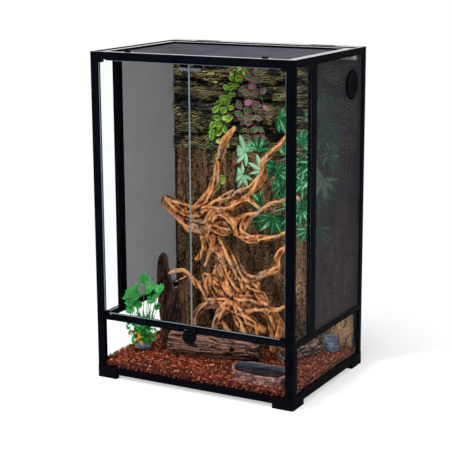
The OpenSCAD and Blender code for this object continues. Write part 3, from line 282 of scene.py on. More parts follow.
def tube(points, radius, name, sides=2):
    """A round stem through the points, with one radius or one for each point."""
    curve = bpy.data.curves.new(name, "CURVE")
    curve.dimensions = "3D"
    curve.bevel_depth = 1
    curve.bevel_resolution = sides
    curve.use_fill_caps = True
    spline = curve.splines.new("NURBS")
    spline.points.add(len(points) - 1)
    for point, at, size in zip(spline.points, points, np.broadcast_to(radius, len(points))):
        point.co = (*at, 1)
        point.radius = size
    spline.order_u = 3
    spline.resolution_u = 4
    spline.use_endpoint_u = True
    pick(linked(name, curve))
    bpy.ops.object.convert(target="MESH")
    return bpy.context.object


def place(x, y, z):
    """A point given in millimetres from the middle of the cabinet."""
    return Vector((x * MM, y * MM + MID_Y, z * MM))


def placed(at, *turns, size=1.0):
    """A matrix that sizes, turns and moves: (degrees, axis) turns, of which the last one acts first."""
    matrix = Matrix.Translation(at)
    for angle, axis in turns:
        matrix = matrix @ Matrix.Rotation(math.radians(angle), 4, axis)
    return matrix @ Matrix.Diagonal((size, size, size, 1))


# ---- Materials -----------------------------------------------------------------------------

BLACK, WHITE = (0, 0, 0), (1, 1, 1)
# Places of the colour sockets of a Mix node
MIX_A, MIX_B, MIX_OUT = 6, 7, 2


def grey(level):
    return (level, level, level)


def feed(tree, socket, value):
    """Links an input to a socket, or sets it to a colour of three numbers or to any other value."""
    if isinstance(value, bpy.types.NodeSocket):
        tree.links.new(value, socket)
    elif socket.type == "RGBA" and len(value) == 3:
        socket.default_value = (*value, 1)
    else:
        socket.default_value = value


def add_node(tree, kind, inputs=None, **settings):
    """A shader node with its settings, and its inputs fed by name or by place."""
    node = tree.nodes.new(f"ShaderNode{kind}")
    for key, value in settings.items():
        setattr(node, key, value)
    for key, value in (inputs or {}).items():
        feed(tree, node.inputs[key], value)
    return node


def any_ray(tree, first, *others):
    """1 for light on any of these kinds of ray."""
    path = add_node(tree, "LightPath").outputs
    out = path[first]
    for ray in others:
        out = add_node(tree, "Math", {0: out, 1: path[ray]}, operation="MAXIMUM").outputs[0]
    return out


def mottle_group():
    """Two colours mixed by layered noise, with the mask and its height."""
    if "Mottle" in bpy.data.node_groups:
        return bpy.data.node_groups["Mottle"]
    tree = bpy.data.node_groups.new("Mottle", "ShaderNodeTree")
    for label, kind, value in (
            ("Vector", "Vector", None), ("Scale", "Float", 20.0), ("Twist", "Float", 0.3), ("Low", "Float", 0.35),
            ("High", "Float", 0.65), ("Dark", "Color", (*BLACK, 1)), ("Light", "Color", (*WHITE, 1))):
        socket = tree.interface.new_socket(label, in_out="INPUT", socket_type=f"NodeSocket{kind}")
        if value is not None:
            socket.default_value = value
    for label, kind in (("Color", "Color"), ("Mask", "Float"), ("Height", "Float")):
        tree.interface.new_socket(label, in_out="OUTPUT", socket_type=f"NodeSocket{kind}")
    given = tree.nodes.new("NodeGroupInput").outputs
    made = tree.nodes.new("NodeGroupOutput").inputs
    field = add_node(tree, "TexNoise", {"Vector": given["Vector"], "Scale": given["Scale"], "Detail": 6,
                                        "Distortion": given["Twist"]}).outputs["Fac"]
    mask = add_node(tree, "MapRange", {"Value": field, "From Min": given["Low"],
                                       "From Max": given["High"]}).outputs["Result"]
    color = add_node(tree, "Mix", {"Factor": mask, MIX_A: given["Dark"], MIX_B: given["Light"]},
                     data_type="RGBA").outputs[MIX_OUT]
    for name, value in (("Color", color), ("Mask", mask), ("Height", field)):
        feed(tree, made[name], value)
    return tree


class Finish:
    """A material with its shader, and helpers that add pattern nodes to it."""

    def __init__(self, name, color, roughness, metallic=0.0, **shader):
        self.material = bpy.data.materials.new(name)
        self.material.use_nodes = True
        self.material.diffuse_color = (*color, 1)
        self.tree = self.material.node_tree
        self.shader = self.tree.nodes["Principled BSDF"]
        self.height = None
        self.coords = {}
        self.set(Base_Color=color, Roughness=roughness, Metallic=metallic, **shader)

    def set(self, **inputs):
        """Feeds inputs of the shader."""
        for key, value in inputs.items():
            feed(self.tree, self.shader.inputs[key.replace("_", " ")], value)
        return self

    def surface(self, shader):
        feed(self.tree, self.tree.nodes["Material Output"].inputs["Surface"], shader)
        return self.material

    def add(self, kind, inputs=None, **settings):
        return add_node(self.tree, kind, inputs, **settings)

    def place(self, scale=(1, 1, 1), turn=(0, 0, 0)):
        """Object coordinates stretched and turned by a mapping node."""
        if (scale, turn) not in self.coords:
            self.coords[scale, turn] = self.add("Mapping", {
                "Vector": self.add("TexCoord").outputs["Object"], "Scale": scale,
                "Rotation": [math.radians(a) for a in turn]}).outputs["Vector"]
        return self.coords[scale, turn]

    def axes(self, source="NewGeometry", output="Normal"):
        """The three parts of the normal, or of another source's output."""
        return self.add("SeparateXYZ", {0: self.add(source).outputs[output]}).outputs

    def math(self, operation, first, second=0.5):
        return self.add("Math", {0: first, 1: second}, operation=operation).outputs[0]

    def ramp(self, value, start, stop, low=0.0, high=1.0, **settings):
        """The value's run from start to stop, as low to high."""
        return self.add("MapRange", {"Value": value, "From Min": start, "From Max": stop, "To Min": low,
                                     "To Max": high}, **settings).outputs["Result"]

    def mottle(self, vector, scale, dark=BLACK, light=WHITE, low=0.35, high=0.65, twist=0.3):
        """The outputs of a mottle group: dark and light are colours or sockets."""
        return self.add("Group", {"Vector": vector, "Scale": scale, "Low": low, "High": high, "Twist": twist,
                                  "Dark": dark, "Light": light}, node_tree=mottle_group()).outputs

    def blend(self, mask, a, b, way="MIX"):
        """Colour a, with colour b where the mask is 1."""
        node = self.add("Mix", {"Factor": mask, MIX_A: a, MIX_B: b}, data_type="RGBA", blend_type=way)
        return node.outputs[MIX_OUT]

    def blend_shaders(self, mask, a, b):
        return self.add("MixShader", {"Fac": mask, 1: a.outputs[0], 2: b.outputs[0]})

    def written(self, name):
        """The value written on each point."""
        return self.add("Attribute", attribute_name=name).outputs["Fac"]

    def shades(self, *stops, name="relief"):
        """Colour by the value written on each point, through (value, colour) stops."""
        ramp = self.add("ValToRGB", {"Fac": self.written(name)})
        elements = ramp.color_ramp.elements
        while len(elements) < len(stops):
            elements.new(0.5)
        for element, (value, color) in zip(elements, stops):
            element.position = value
            element.color = (*color, 1)
        return ramp.outputs["Color"]

    def rough(self, mask, low, high):
        return self.set(Roughness=self.ramp(mask, 0, 1, low, high))

    def bump(self, height, strength, depth):
        """Adds a bump below any that is already there."""
        inputs = {"Strength": strength, "Distance": depth, "Height": height}
        if self.height:
            inputs["Normal"] = self.height
        self.height = self.add("Bump", inputs).outputs["Normal"]
        return self.set(Normal=self.height)


def scaled(color, share):
    return tuple(c * share for c in color)


def moulded(name, color, roughness, grain=900.0, depth=0.00008, crest=False, **shader):
    """Moulded or coated surface: fine grain and slight change of gloss. A crest is a glossy coat on what faces up."""
    made = Finish(name, color, roughness, **shader)
    if crest:
        made.set(Coat_Weight=made.ramp(made.axes()[2], 0.5, 0.95), Coat_Roughness=0.06, Coat_IOR=1.7)
    cloud = made.mottle(made.place(), 14, scaled(color, 0.82), scaled(color, 1.2))
    grit = made.mottle(made.place(), grain)
    made.set(Base_Color=cloud["Color"]).rough(cloud["Mask"], roughness * 0.85, roughness * 1.18)
    return made.bump(grit["Height"], 0.25, depth).material


def brushed(name, color, roughness):
    made = Finish(name, color, roughness, metallic=1.0)
    lines = made.mottle(made.place((40, 40, 1)), 60, scaled(color, 0.8), color)
    made.set(Base_Color=lines["Color"]).rough(lines["Mask"], roughness * 0.8, roughness * 1.3)
    return made.bump(lines["Height"], 0.2, 0.00003).material


def pane(node, tint, edge, thin, cut=0.0004):
    """Clear glass, thin along one axis, with ground edges. It lets light pass to what is inside."""
    made = Finish(f"Glass {node}", tint, 0.0, Transmission_Weight=1.0, IOR=1.04, Specular_Tint=grey(0.5))
    low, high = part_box(node)
    where = made.axes("TexCoord", "Object")
    mask = None
    for axis in range(3):
        if axis == thin:
            continue
        for way, limit in (("LESS_THAN", low[axis] + cut), ("GREATER_THAN", high[axis] - cut)):
            test = made.math(way, where[axis], limit)
            mask = test if mask is None else made.math("MAXIMUM", mask, test)
    ground = made.add("BsdfPrincipled", {"Base Color": edge, "Roughness": 0.3})
    made.rough(made.mottle(made.place(), 9, low=0.5, high=0.9)["Mask"], 0.0, 0.02)
    clear = made.add("BsdfTransparent", {"Color": (0.96, 0.98, 0.975)})
    solid = made.blend_shaders(mask, made.shader, ground)
    passing = any_ray(made.tree, "Is Shadow Ray", "Is Diffuse Ray")
    return made.surface(made.blend_shaders(passing, solid, clear).outputs[0])


def bark_like(name, hollow, middle, ridge, speck, scale, stretch, depth=0.0008, roughness=0.85):
    """Rough bark or wood: coloured by its relief, partly its own colour and partly painted shade in the hollows, with
    blotches along the grain, fine specks and bump.
    """
    made = Finish(name, middle, roughness, Specular_IOR_Level=0.1)
    along = made.place(stretch)
    body = made.shades((0.10, hollow), (0.42, middle), (0.86, ridge))
    broad = made.mottle(along, scale, (0.28, 0.27, 0.25), (0.78, 0.76, 0.72), 0.36, 0.64, 0.8)
    mixed = made.blend(0.35, body, broad["Color"], "OVERLAY")
    fine = made.mottle(along, scale * 5.2, low=0.54, high=0.70, twist=0.4)
    made.set(Base_Color=made.blend(fine["Mask"], mixed, speck))
    made.rough(fine["Mask"], roughness * 0.92, min(1, roughness * 1.1))
    return made.bump(broad["Height"], 0.5, depth * 2).bump(fine["Height"], 0.6, depth).material


def dress(node, material):
    """Gives a CAD node one finish on every slot."""
    obj = NODES[node]
    if not obj.data.materials:
        obj.data.materials.append(material)
    for slot in obj.material_slots:
        slot.material = material


def finish_piece(obj, material, body, slot, *nodes):
    """Last step of a piece: its material, the body it rides on, and the nodes it stands for, which it hides. The slot
    is not used.
    """
    obj.data.materials.clear()
    obj.data.materials.append(material)
    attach(obj, body)
    if nodes:
        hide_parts(*nodes)


# ---- Settings ------------------------------------------------------------------------------

def length(label, text, value, low=0.0, high=1.0):
    return bpy.props.FloatProperty(name=label, description=text, default=value, min=low, max=high,
                                   precision=5, subtype="DISTANCE", unit="LENGTH")


def colour(label, text, value):
    return bpy.props.FloatVectorProperty(name=label, description=text, default=value, min=0, max=1,
                                         size=3, subtype="COLOR")


def amount(label, text, value, high=1):
    return bpy.props.FloatProperty(name=label, description=text, default=value, min=0, max=high)


def count(label, text, value, low=0, high=10000):
    return bpy.props.IntProperty(name=label, description=text, default=value, min=low, max=high)


class TerrariumCabinet(bpy.types.PropertyGroup):
    """Finishes of the frame, the doors and the mesh."""
    profile: colour("Profiles", "Coating of the frame profiles", rgb(5, 6, 11))
    plastic: colour("Plastic", "Feet, hinges, latch and port", rgb(8, 9, 12))
    steel: colour("Steel", "Strikes, screws and pins", rgb(104, 106, 112))
    glass: colour("Glass", "Tint of the panes", (0.985, 0.995, 0.99))
    glass_edge: colour("Glass edge", "Tint of the cut edges", rgb(116, 134, 140))
    wire: colour("Wire", "Coating of the mesh wires", rgb(50, 49, 55))
    wire_width: length("Wire", "Thickness of a mesh wire", 0.0006, 0.0001, 0.002)
    pitch: length("Pitch", "Distance between mesh wires", 0.00145, 0.0005, 0.01)


class TerrariumWall(bpy.types.PropertyGroup):
    """Rock and cork back wall."""
    rock_dark: colour("Rock, dark", "Deep parts of the rock", rgb(22, 24, 34))
    # The ridge colour is a painted highlight: olive strata lines kept to the rock's ridges.
    rock_strata_highlight: colour("Rock, light", "Ridges of the rock", rgb(206, 188, 112))
    # The cork's dark colour is partly its own and partly painted shade in the fissures.
    cork_dark: colour("Cork, dark", "Fissures of the cork", rgb(26, 16, 11))
    cork_mid: colour("Cork, middle", "Sides of the cork's plates", rgb(104, 76, 54))
    cork_light: colour("Cork, light", "Plates of the cork", rgb(164, 124, 92))


class TerrariumFloor(bpy.types.PropertyGroup):
    """Bark floor."""
    chip: length("Chip", "Length of a bark chip", 0.0078, 0.003, 0.06)
    chips: count("Chips", "Loose chips in each patch of the floor", 32, 5, 60)
    seed: count("Seed", "Start of the scatter", 7)
    dark: colour("Dark chips", "Most of the bark chips", rgb(158, 66, 43))
    light: colour("Light chips", "Lightest bark chips", rgb(228, 146, 106))


class TerrariumWood(bpy.types.PropertyGroup):
    """Root wood, logs and bark slab."""
    voxel: length("Detail", "Size of the remeshed faces of the root wood", 0.0026, 0.001, 0.01)
    strands: count("Strands", "Strands that wind along the limbs", 210, 0, 800)
    seed: count("Seed", "Start of the strands", 5)
    # By relief, the dark colour is partly painted shade on the sides of the strands and the light one partly painted
    # highlight on the raised grain.
    root_dark: colour("Root wood, dark", "Sides of the root wood's strands", rgb(104, 56, 30))
    root_grain_highlight: colour("Root wood, light", "Raised grain of the root wood", rgb(222, 160, 108))
    # The log colours are spread by relief: the dark one is partly painted shade at the sides of the ridges, the light
    # one partly painted highlight on them.
    log_dark: colour("Log, dark", "Sides of the log's ridges", rgb(76, 50, 44))
    log_light: colour("Log, light", "Ridges of the logs", rgb(136, 100, 88))


class TerrariumPlants(bpy.types.PropertyGroup):
    """Leaves and stems."""
    lime: colour("Lime leaves", "Hanging vine", rgb(178, 208, 64))
    deep: colour("Deep leaves", "Broad palmate leaves", rgb(36, 150, 84))
    red: colour("Red edges", "Edges of the patterned leaves", rgb(222, 96, 146))
    fresh: colour("Fresh leaves", "Round leaves of the pot plant", rgb(44, 182, 72))
    seed: count("Seed", "Start of the leaves' small turns", 21)


class TerrariumStage(bpy.types.PropertyGroup):
    """Floor, lamps and camera."""
    floor: colour("Floor", "Colour of the floor", (0.8, 0.8, 0.8))
    shadow: amount("Shadow", "Depth of the object's shadow on the floor", 0.5)
    lamp: amount("Lamps", "Strength of the lamps", 1.0, 5)
    sky: amount("Sky", "Strength of the light from all round", 0.42, 2)


GROUPS = {
    "terrarium_cabinet": TerrariumCabinet, "terrarium_wall": TerrariumWall,
    "terrarium_floor": TerrariumFloor, "terrarium_wood": TerrariumWood,
    "terrarium_plants": TerrariumPlants, "terrarium_stage": TerrariumStage,
}


# ---- Stage ---------------------------------------------------------------------------------

class TERRARIUM_OT_stage(bpy.types.Operator):
    """Camera, lamps, floor and white surroundings"""
    bl_idname = "terrarium.stage"
    bl_label = "Stage"

    # Name, place, what it points at, size and power
    lamps = (
        ("Key", (-1.7, -2.9, 2.3), (0.0, 0.0, 0.45), 1.1, 120),
        ("Fill", (2.9, -2.2, 1.5), (0.1, 0.0, 0.45), 2.0, 38),
        ("Top", (0.1, -0.5, 2.7), (0.0, 0.05, 0.5), 1.2, 64),
    )
    eye = (1.70256, -3.13059, 1.22189)
    yaw, pitch, roll = 0.50114, 0.22088, -0.00531
    lens = 104.165
    # The rays on which the surroundings are white: straight, in a reflection or through glass
    seen = ("Is Camera Ray", "Is Glossy Ray", "Is Transmission Ray")
    # Distances from the middle at which the floor starts and ends to turn white
    near, far = 0.45, 1.1

    def aim(self, context):
        """The camera, from its yaw, pitch and roll in radians."""
        yaw, pitch, roll = self.yaw, self.pitch, self.roll
        forward = Vector((-math.sin(yaw) * math.cos(pitch), math.cos(yaw) * math.cos(pitch), -math.sin(pitch)))
        right = Vector((math.cos(yaw), math.sin(yaw), 0))
        up = right.cross(forward)
        right, up = (right * math.cos(roll) + up * math.sin(roll), up * math.cos(roll) - right * math.sin(roll))
        bpy.ops.object.camera_add()
        camera = context.object
        camera.name = "Camera"
        camera.matrix_world = (Matrix.Translation(self.eye)
                               @ Matrix((right, up, -forward)).transposed().to_4x4())
        camera.data.sensor_width = 36
        camera.data.lens = self.lens
        camera.data.clip_end = 50
        context.scene.camera = camera

    def light(self, context, strength):
        for name, at, target, size, power in self.lamps:
            bpy.ops.object.light_add(type="AREA", location=at)
            lamp = context.object
            lamp.name = name
            lamp.data.shape = "DISK"
            lamp.data.size = size
            lamp.data.energy = power * strength
            lamp.rotation_euler = (Vector(target) - Vector(at)).to_track_quat("-Z", "Y").to_euler()

    def lay_floor(self, settings):
        """A plane that keeps the object's shadow and turns white away from it."""
        floor = primitive("plane", "Stage_floor", size=30)
        made = Finish("Stage floor", settings.floor, 0.9, Specular_IOR_Level=0.0)
        soft = made.add("BsdfDiffuse", {"Color": grey(settings.shadow)})
        lift = made.add("Emission", {"Strength": 1 - settings.shadow})
        shaded = made.add("AddShader", {0: soft.outputs[0], 1: lift.outputs[0]})
        away = made.add("VectorMath", {0: made.place()}, operation="LENGTH").outputs["Value"]
        away = made.ramp(away, self.near, self.far, interpolation_type="SMOOTHSTEP")
        shown = made.blend_shaders(away, shaded, made.add("Emission"))
        seen = any_ray(made.tree, *self.seen)
        floor.data.materials.append(made.surface(made.blend_shaders(seen, made.shader, shown).outputs[0]))

    def execute(self, context):
        settings = context.scene.terrarium_stage
        self.aim(context)
        self.light(context, settings.lamp)
        self.lay_floor(settings)
        world = bpy.data.worlds.new("Studio")
        context.scene.world = world
        world.use_nodes = True
        tree = world.node_tree
        level = add_node(tree, "MapRange", {"Value": any_ray(tree, *self.seen), "To Min": settings.sky})
        feed(tree, tree.nodes["Background"].inputs["Color"], WHITE)
        feed(tree, tree.nodes["Background"].inputs["Strength"], level.outputs["Result"])
        context.scene.view_settings.view_transform = "Standard"
        return {"FINISHED"}


# ---- Cabinet -------------------------------------------------------------------------------

PROFILES = ("post_front_left", "post_front_right", "post_rear_left", "post_rear_right", "top_corners",
            "bottom_rail_front", "bottom_rail_rear", "bottom_rails_side", "middle_rail_front",
            "middle_rails_side", "side_mullions", "top_rail_front", "top_rail_rear", "top_rails_side", "lid_frame")
PLASTICS = ("foot_front_left", "foot_front_right", "foot_rear_left", "foot_rear_right", "port_ring",
            "port_clamp_ring", "port_cover", "door_hinges_left", "door_hinges_right", "magnet_holders",
            "latch_housing", "latch_knob", "lid_clip_left", "lid_clip_right", "inlet_shutter_left",
            "inlet_shutter_right")
CROSS_PANES = ("door_glass_left", "door_glass_right", "lower_glass_front", "rear_glass")
SIDE_PANES = ("lower_glass_sides", "side_glass_strips")
STEELS = ("corner_screws", "latch_screws", "latch_bolt", "lid_pins", "door_strike_left", "door_strike_right")


class TERRARIUM_OT_cabinet(bpy.types.Operator):
    """Finishes of the profiles, plastics, steel and panes"""
    bl_idname = "terrarium.cabinet"
    bl_label = "Cabinet finishes"

    def execute(self, context):
        s = context.scene.terrarium_cabinet
        finishes = (
            (moulded("Profile coating", s.profile, 0.38, 700, 0.00004, crest=True,
                     Specular_IOR_Level=0.02, IOR=1.2), PROFILES),
            (moulded("Moulded plastic", s.plastic, 0.42, Specular_IOR_Level=0.05, IOR=1.12), PLASTICS),
            (moulded("Pan plastic", rgb(24, 24, 27), 0.6, 500, Specular_IOR_Level=0.15), ("base_pan",)),
            (brushed("Bare steel", s.steel, 0.28), STEELS),
        )
        for material, nodes in finishes:
            for node in nodes:
                dress(node, material)
        for thin, nodes in ((1, CROSS_PANES), (0, SIDE_PANES)):
            for node in nodes:
                dress(node, pane(node, s.glass, s.glass_edge, thin))
        return {"FINISHED"}


def wires(low, high, across, along, shift, width, pitch):
    """Parallel wires that fill low to high: they run on axis along, repeat on axis across and are moved by shift."""
    turn = ((0, math.radians(90), 0), (math.radians(90), 0, 0), (0, 0, 0))[along]
    centre = (low + high) / 2 + shift
    centre[across] = low[across] + pitch / 2
    wire = primitive("cylinder", "Wire", vertices=4, radius=width / 2, depth=high[along] - low[along],
                     location=centre, rotation=turn)
    settle(wire)
    step = [0, 0, 0]
    step[across] = pitch
    modify(wire, "ARRAY", count=max(1, int((high[across] - low[across]) / pitch)), use_relative_offset=False,
           use_constant_offset=True, constant_offset_displace=step)
    return wire


def rim(low, high, axis, width):
    """Flat edge channel round a sheet: a box hollowed along axis."""
    obj = primitive("cube", "Rim", size=1, location=(low + high) / 2, scale=high - low)
    settle(obj)
    edit(obj, (bpy.ops.mesh.inset, {"thickness": width}), (bpy.ops.mesh.bridge_edge_loops, {}),
         faces=lambda normal: abs(normal[axis]) > 0.9)
    return obj


class TERRARIUM_OT_mesh(bpy.types.Operator):
    """Woven wire sheets of the sides and the lid"""
    bl_idname = "terrarium.mesh"
    bl_label = "Woven mesh"

    # Width of the side sheets' edge channel
    edge = 0.0057
    # How far each layer of wires lies from the sheet's middle, as a share of the wire
    apart = 0.45
    # Middle and radius of the hole for the hose port
    port_y = 139.5 * MM + MID_Y
    port_z = 0.817
    port_hole = 0.0297

    def sheet(self, s, node, axis, name, body, edge, hole=False, heavy=1.0):
        """Two layers of crossed wires, heavy times as thick, in place of a CAD sheet, and its edge channel."""
        width = s.wire_width * heavy
        low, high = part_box(node)
        first, second = [a for a in range(3) if a != axis]
        inset = Vector([edge * 0.5] * 3)
        inset[axis] = (high[axis] - low[axis]) / 2
        shift = Vector((0, 0, 0))
        parts = []
        for across, along, side in ((first, second, -1), (second, first, 1)):
            shift[axis] = side * width * self.apart
            parts.append(wires(low + inset, high - inset, across, along, shift, width, s.pitch))
        piece = join(parts, name)
        if hole:
            cutter = primitive("cylinder", "Cutter", vertices=48, radius=self.port_hole, depth=0.02,
                               location=((low[axis] + high[axis]) / 2, self.port_y, self.port_z),
                               rotation=(0, math.radians(90), 0))
            modify(piece, "BOOLEAN", operation="DIFFERENCE", object=cutter, solver="EXACT", use_self=False)
            drop(cutter)
        if edge:
            piece = join([piece, rim(low, high, axis, edge)], name)
        wire = moulded(f"Wire {name}", s.wire, 0.5, 1400, 0.00003, Specular_IOR_Level=0.08)
        finish_piece(piece, wire, body, "mesh", node)

    def execute(self, context):
        s = context.scene.terrarium_cabinet
        self.sheet(s, "side_mesh_left", 0, "Mesh_left", "frame", self.edge, heavy=1.12)
        self.sheet(s, "side_mesh_right", 0, "Mesh_right", "frame", self.edge, hole=True, heavy=0.86)
        self.sheet(s, "lid_mesh", 2, "Mesh_lid", "lid", 0.0)
        return {"FINISHED"}


# ---- Back wall and floor -------------------------------------------------------------------

class TERRARIUM_OT_rock(bpy.types.Operator):
    """Layered rock relief at the top of the back wall"""
    bl_idname = "terrarium.rock"
    bl_label = "Rock panel"

    def execute(self, context):
        s = context.scene.terrarium_wall
        dark = s.rock_dark
        rock = weathered("rock_panel", "Rock_wall", 0.0030, (
            clouds((0.090, 0.08, 0.040), 0.024), clouds((0.030, 0.03, 0.011), 0.009),
            clouds((0.007, 0.007, 0.004), 0.003)), crease=0.5, grow=0.004, hold=0.008)
        made = Finish("Rock", dark, 0.7, Specular_IOR_Level=0.12)
        strata = made.add("TexWave", {
            "Vector": made.place((0.8, 0.8, 1), (0, 10, 0)), "Scale": 58, "Distortion": 24, "Detail": 2.0,
            "Detail Scale": 0.42, "Detail Roughness": 0.6}, bands_direction="Z").outputs["Fac"]
        stain = made.mottle(made.place((1, 1, 1.6)), 15, grey(0.05), WHITE, 0.40, 0.54, 1.0)
        # Painted highlight: the olive strata lines are kept to the ridges by relief and left out of the hollows.
        where = made.shades((0.12, grey(0.05)), (0.45, grey(0.6)), (0.8, WHITE))
        lines = made.ramp(strata, 0.52, 0.88)
        for mask in (stain["Color"], where):
            lines = made.math("MULTIPLY", lines, mask)
        grit = made.mottle(made.place(), 420)
        tint = made.mottle(made.place(), 30, rgb(58, 52, 54), rgb(30, 34, 46))
        # Painted shade and highlight by relief: near-black in the hollows, lighter on the ridges, with the tint only
        # on raised parts.
        body = made.shades((0.1, rgb(6, 8, 12)), (0.42, dark), (0.95, rgb(74, 70, 66)))
        body = made.blend(made.shades((0.4, BLACK), (0.9, grey(0.7))), body, tint["Color"])
        behind = made.ramp(made.axes()[1], 0.6, 0.8)
        face = made.blend(lines, body, s.rock_strata_highlight)
        made.set(Base_Color=made.blend(behind, face, rgb(30, 30, 33)))
        made.bump(strata, 0.6, 0.0022).bump(grit["Height"], 0.4, 0.0006)
        finish_piece(rock, made.material, "frame", "rock", "rock_panel")
        return {"FINISHED"}


class TERRARIUM_OT_cork(bpy.types.Operator):
    """Cork panels with upright fissures"""
    bl_idname = "terrarium.cork"
    bl_label = "Cork panels"

    def execute(self, context):
        s = context.scene.terrarium_wall
        cork = weathered("cork_panels", "Cork_wall", 0.0033, (
            clouds((0.022, 0.05, 0.100), 0.016, 3), cells((0.017, 0.04, 0.046), 0.008),
            clouds((0.006, 0.006, 0.009), 0.005, 3)), crease=0.5, grow=0.003, hold=0.008)
        made = Finish("Cork", s.cork_mid, 0.85, Specular_IOR_Level=0.1)
        # Colour by relief: partly the cork's own darker fissures and lighter plates, partly painted shade in the
        # fissures.
        body = made.shades((0.06, s.cork_dark), (0.34, s.cork_mid), (0.9, s.cork_light))
        pits = made.mottle(made.place((1.2, 1, 0.8)), 210, BLACK, grey(0.85), 0.50, 0.62, 0.6)
        specks = made.mottle(made.place((1, 1, 0.8)), 290, BLACK, grey(0.8), 0.54, 0.66, 0.4)
        broad = made.mottle(made.place((1, 1, 0.5)), 12, BLACK, grey(0.55), 0.42, 0.62)
        for mask, shade in ((broad, rgb(66, 54, 36)), (pits, rgb(34, 22, 15)), (specks, rgb(196, 158, 122))):
            body = made.blend(mask["Color"], body, shade)
        made.set(Base_Color=body).bump(broad["Height"], 0.4, 0.002).bump(pits["Height"], 0.7, 0.0012)
        finish_piece(cork, made.material, "frame", "cork", "cork_panels")
        return {"FINISHED"}


class TERRARIUM_OT_floor(bpy.types.Operator):
    """Bark floor with loose chips"""
    bl_idname = "terrarium.floor"
    bl_label = "Bark floor"

    tile = 0.03
    # How far the patches on the sides of the bed sink into it
    sunk = 0.0015
    # Length, width and thickness of each kind of chip, and the start of its crumpling
    kinds = (((1.0, 0.32, 0.14), 3), ((0.8, 0.42, 0.18), 8), ((1.4, 0.24, 0.14), 5))

    def chip(self, shape, seed):
        """One flake of bark: a crumpled slab."""
        flake = primitive("cube", "Chip", size=1)
        flake.scale = shape
        settle(flake)
        edit(flake, (bpy.ops.transform.vertex_random, {"offset": 0.10, "seed": seed}))
        return flake

    def patch(self, chips, longest, number, rng):
        """Chips strewn over one tile, about its middle."""
        half = self.tile / 2
        flakes = []
        for _ in range(number):
            size = longest * rng.uniform(0.5, 1.2)
            at = Vector((rng.uniform(-half, half), rng.uniform(-half, half), rng.uniform(-0.0008, 0.0038)))
            chip = rng.choice(chips)
            pitch, roll, turn = rng.gauss(0, 22), rng.gauss(0, 22), rng.uniform(0, 360)
            flakes.append(copy_of(chip, placed(at, (turn, "Z"), (pitch, "X"), (roll, "Y"), size=size),
                                  min(1, rng.random() ** 1.5)))
        return join(flakes, "Patch")

    def execute(self, context):
        s = context.scene.terrarium_floor
        rng = random.Random(s.seed)
        bed = weathered("bark_floor", "Bark_floor", 0.0045, (
            cells((0.010, 0.010, 0.008), 0.005, 1.0, 0.0), clouds((0.05, 0.05, 0.05), 0.004)), grow=0.001)
        write(bed, "tone", 0.02)
        chips = [self.chip(*kind) for kind in self.kinds]
        patches = [self.patch(chips, s.chip, s.chips, rng) for _ in range(3)]
        low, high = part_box("bark_floor")
        tile = self.tile
        along_x = [low.x + tile * (i + 0.5) for i in range(int((high.x - low.x) / tile) + 1)]
        along_y = [low.y + tile * (j + 0.5) for j in range(int((high.y - low.y) / tile) + 1)]
        side_z = high.z - tile / 2
        parts = [bed]

        def lay(at, *turns):
            patch = rng.choice(patches)
            turns = turns or ((rng.choice((0, 90, 180, 270)), "Z"),)
            parts.append(copy_of(patch, placed(at, *turns)))

        for x in along_x:
            for y in along_y:
                lay((x, y, high.z))
        for x in along_x:
            lay((x, low.y + self.sunk, side_z), (90, "X"))
        for y in along_y:
            lay((low.x + self.sunk, y, side_z), (-90, "Z"), (90, "X"))
            lay((high.x - self.sunk, y, side_z), (90, "Z"), (90, "X"))
        drop(*chips, *patches)
        floor = join(parts, "Bark_floor")
        keep_inside(floor, low, (high.x, high.y, high.z + 0.008))
        made = Finish("Bark chips", s.dark, 0.7, Specular_IOR_Level=0.12)
        stain = made.mottle(made.place(), 210, (0.4, 0.36, 0.36), WHITE, 0.42, 0.56)
        body = made.shades((0.0, rgb(60, 22, 15)), (0.35, s.dark), (0.6, rgb(206, 100, 64)),
                           (0.9, s.light), name="tone")
        made.set(Base_Color=made.blend(1, body, stain["Color"], "MULTIPLY")).bump(stain["Height"], 0.5, 0.0008)
        finish_piece(floor, made.material, "frame", "mulch", "bark_floor")
        return {"FINISHED"}


# ---- Wood and stone ------------------------------------------------------------------------

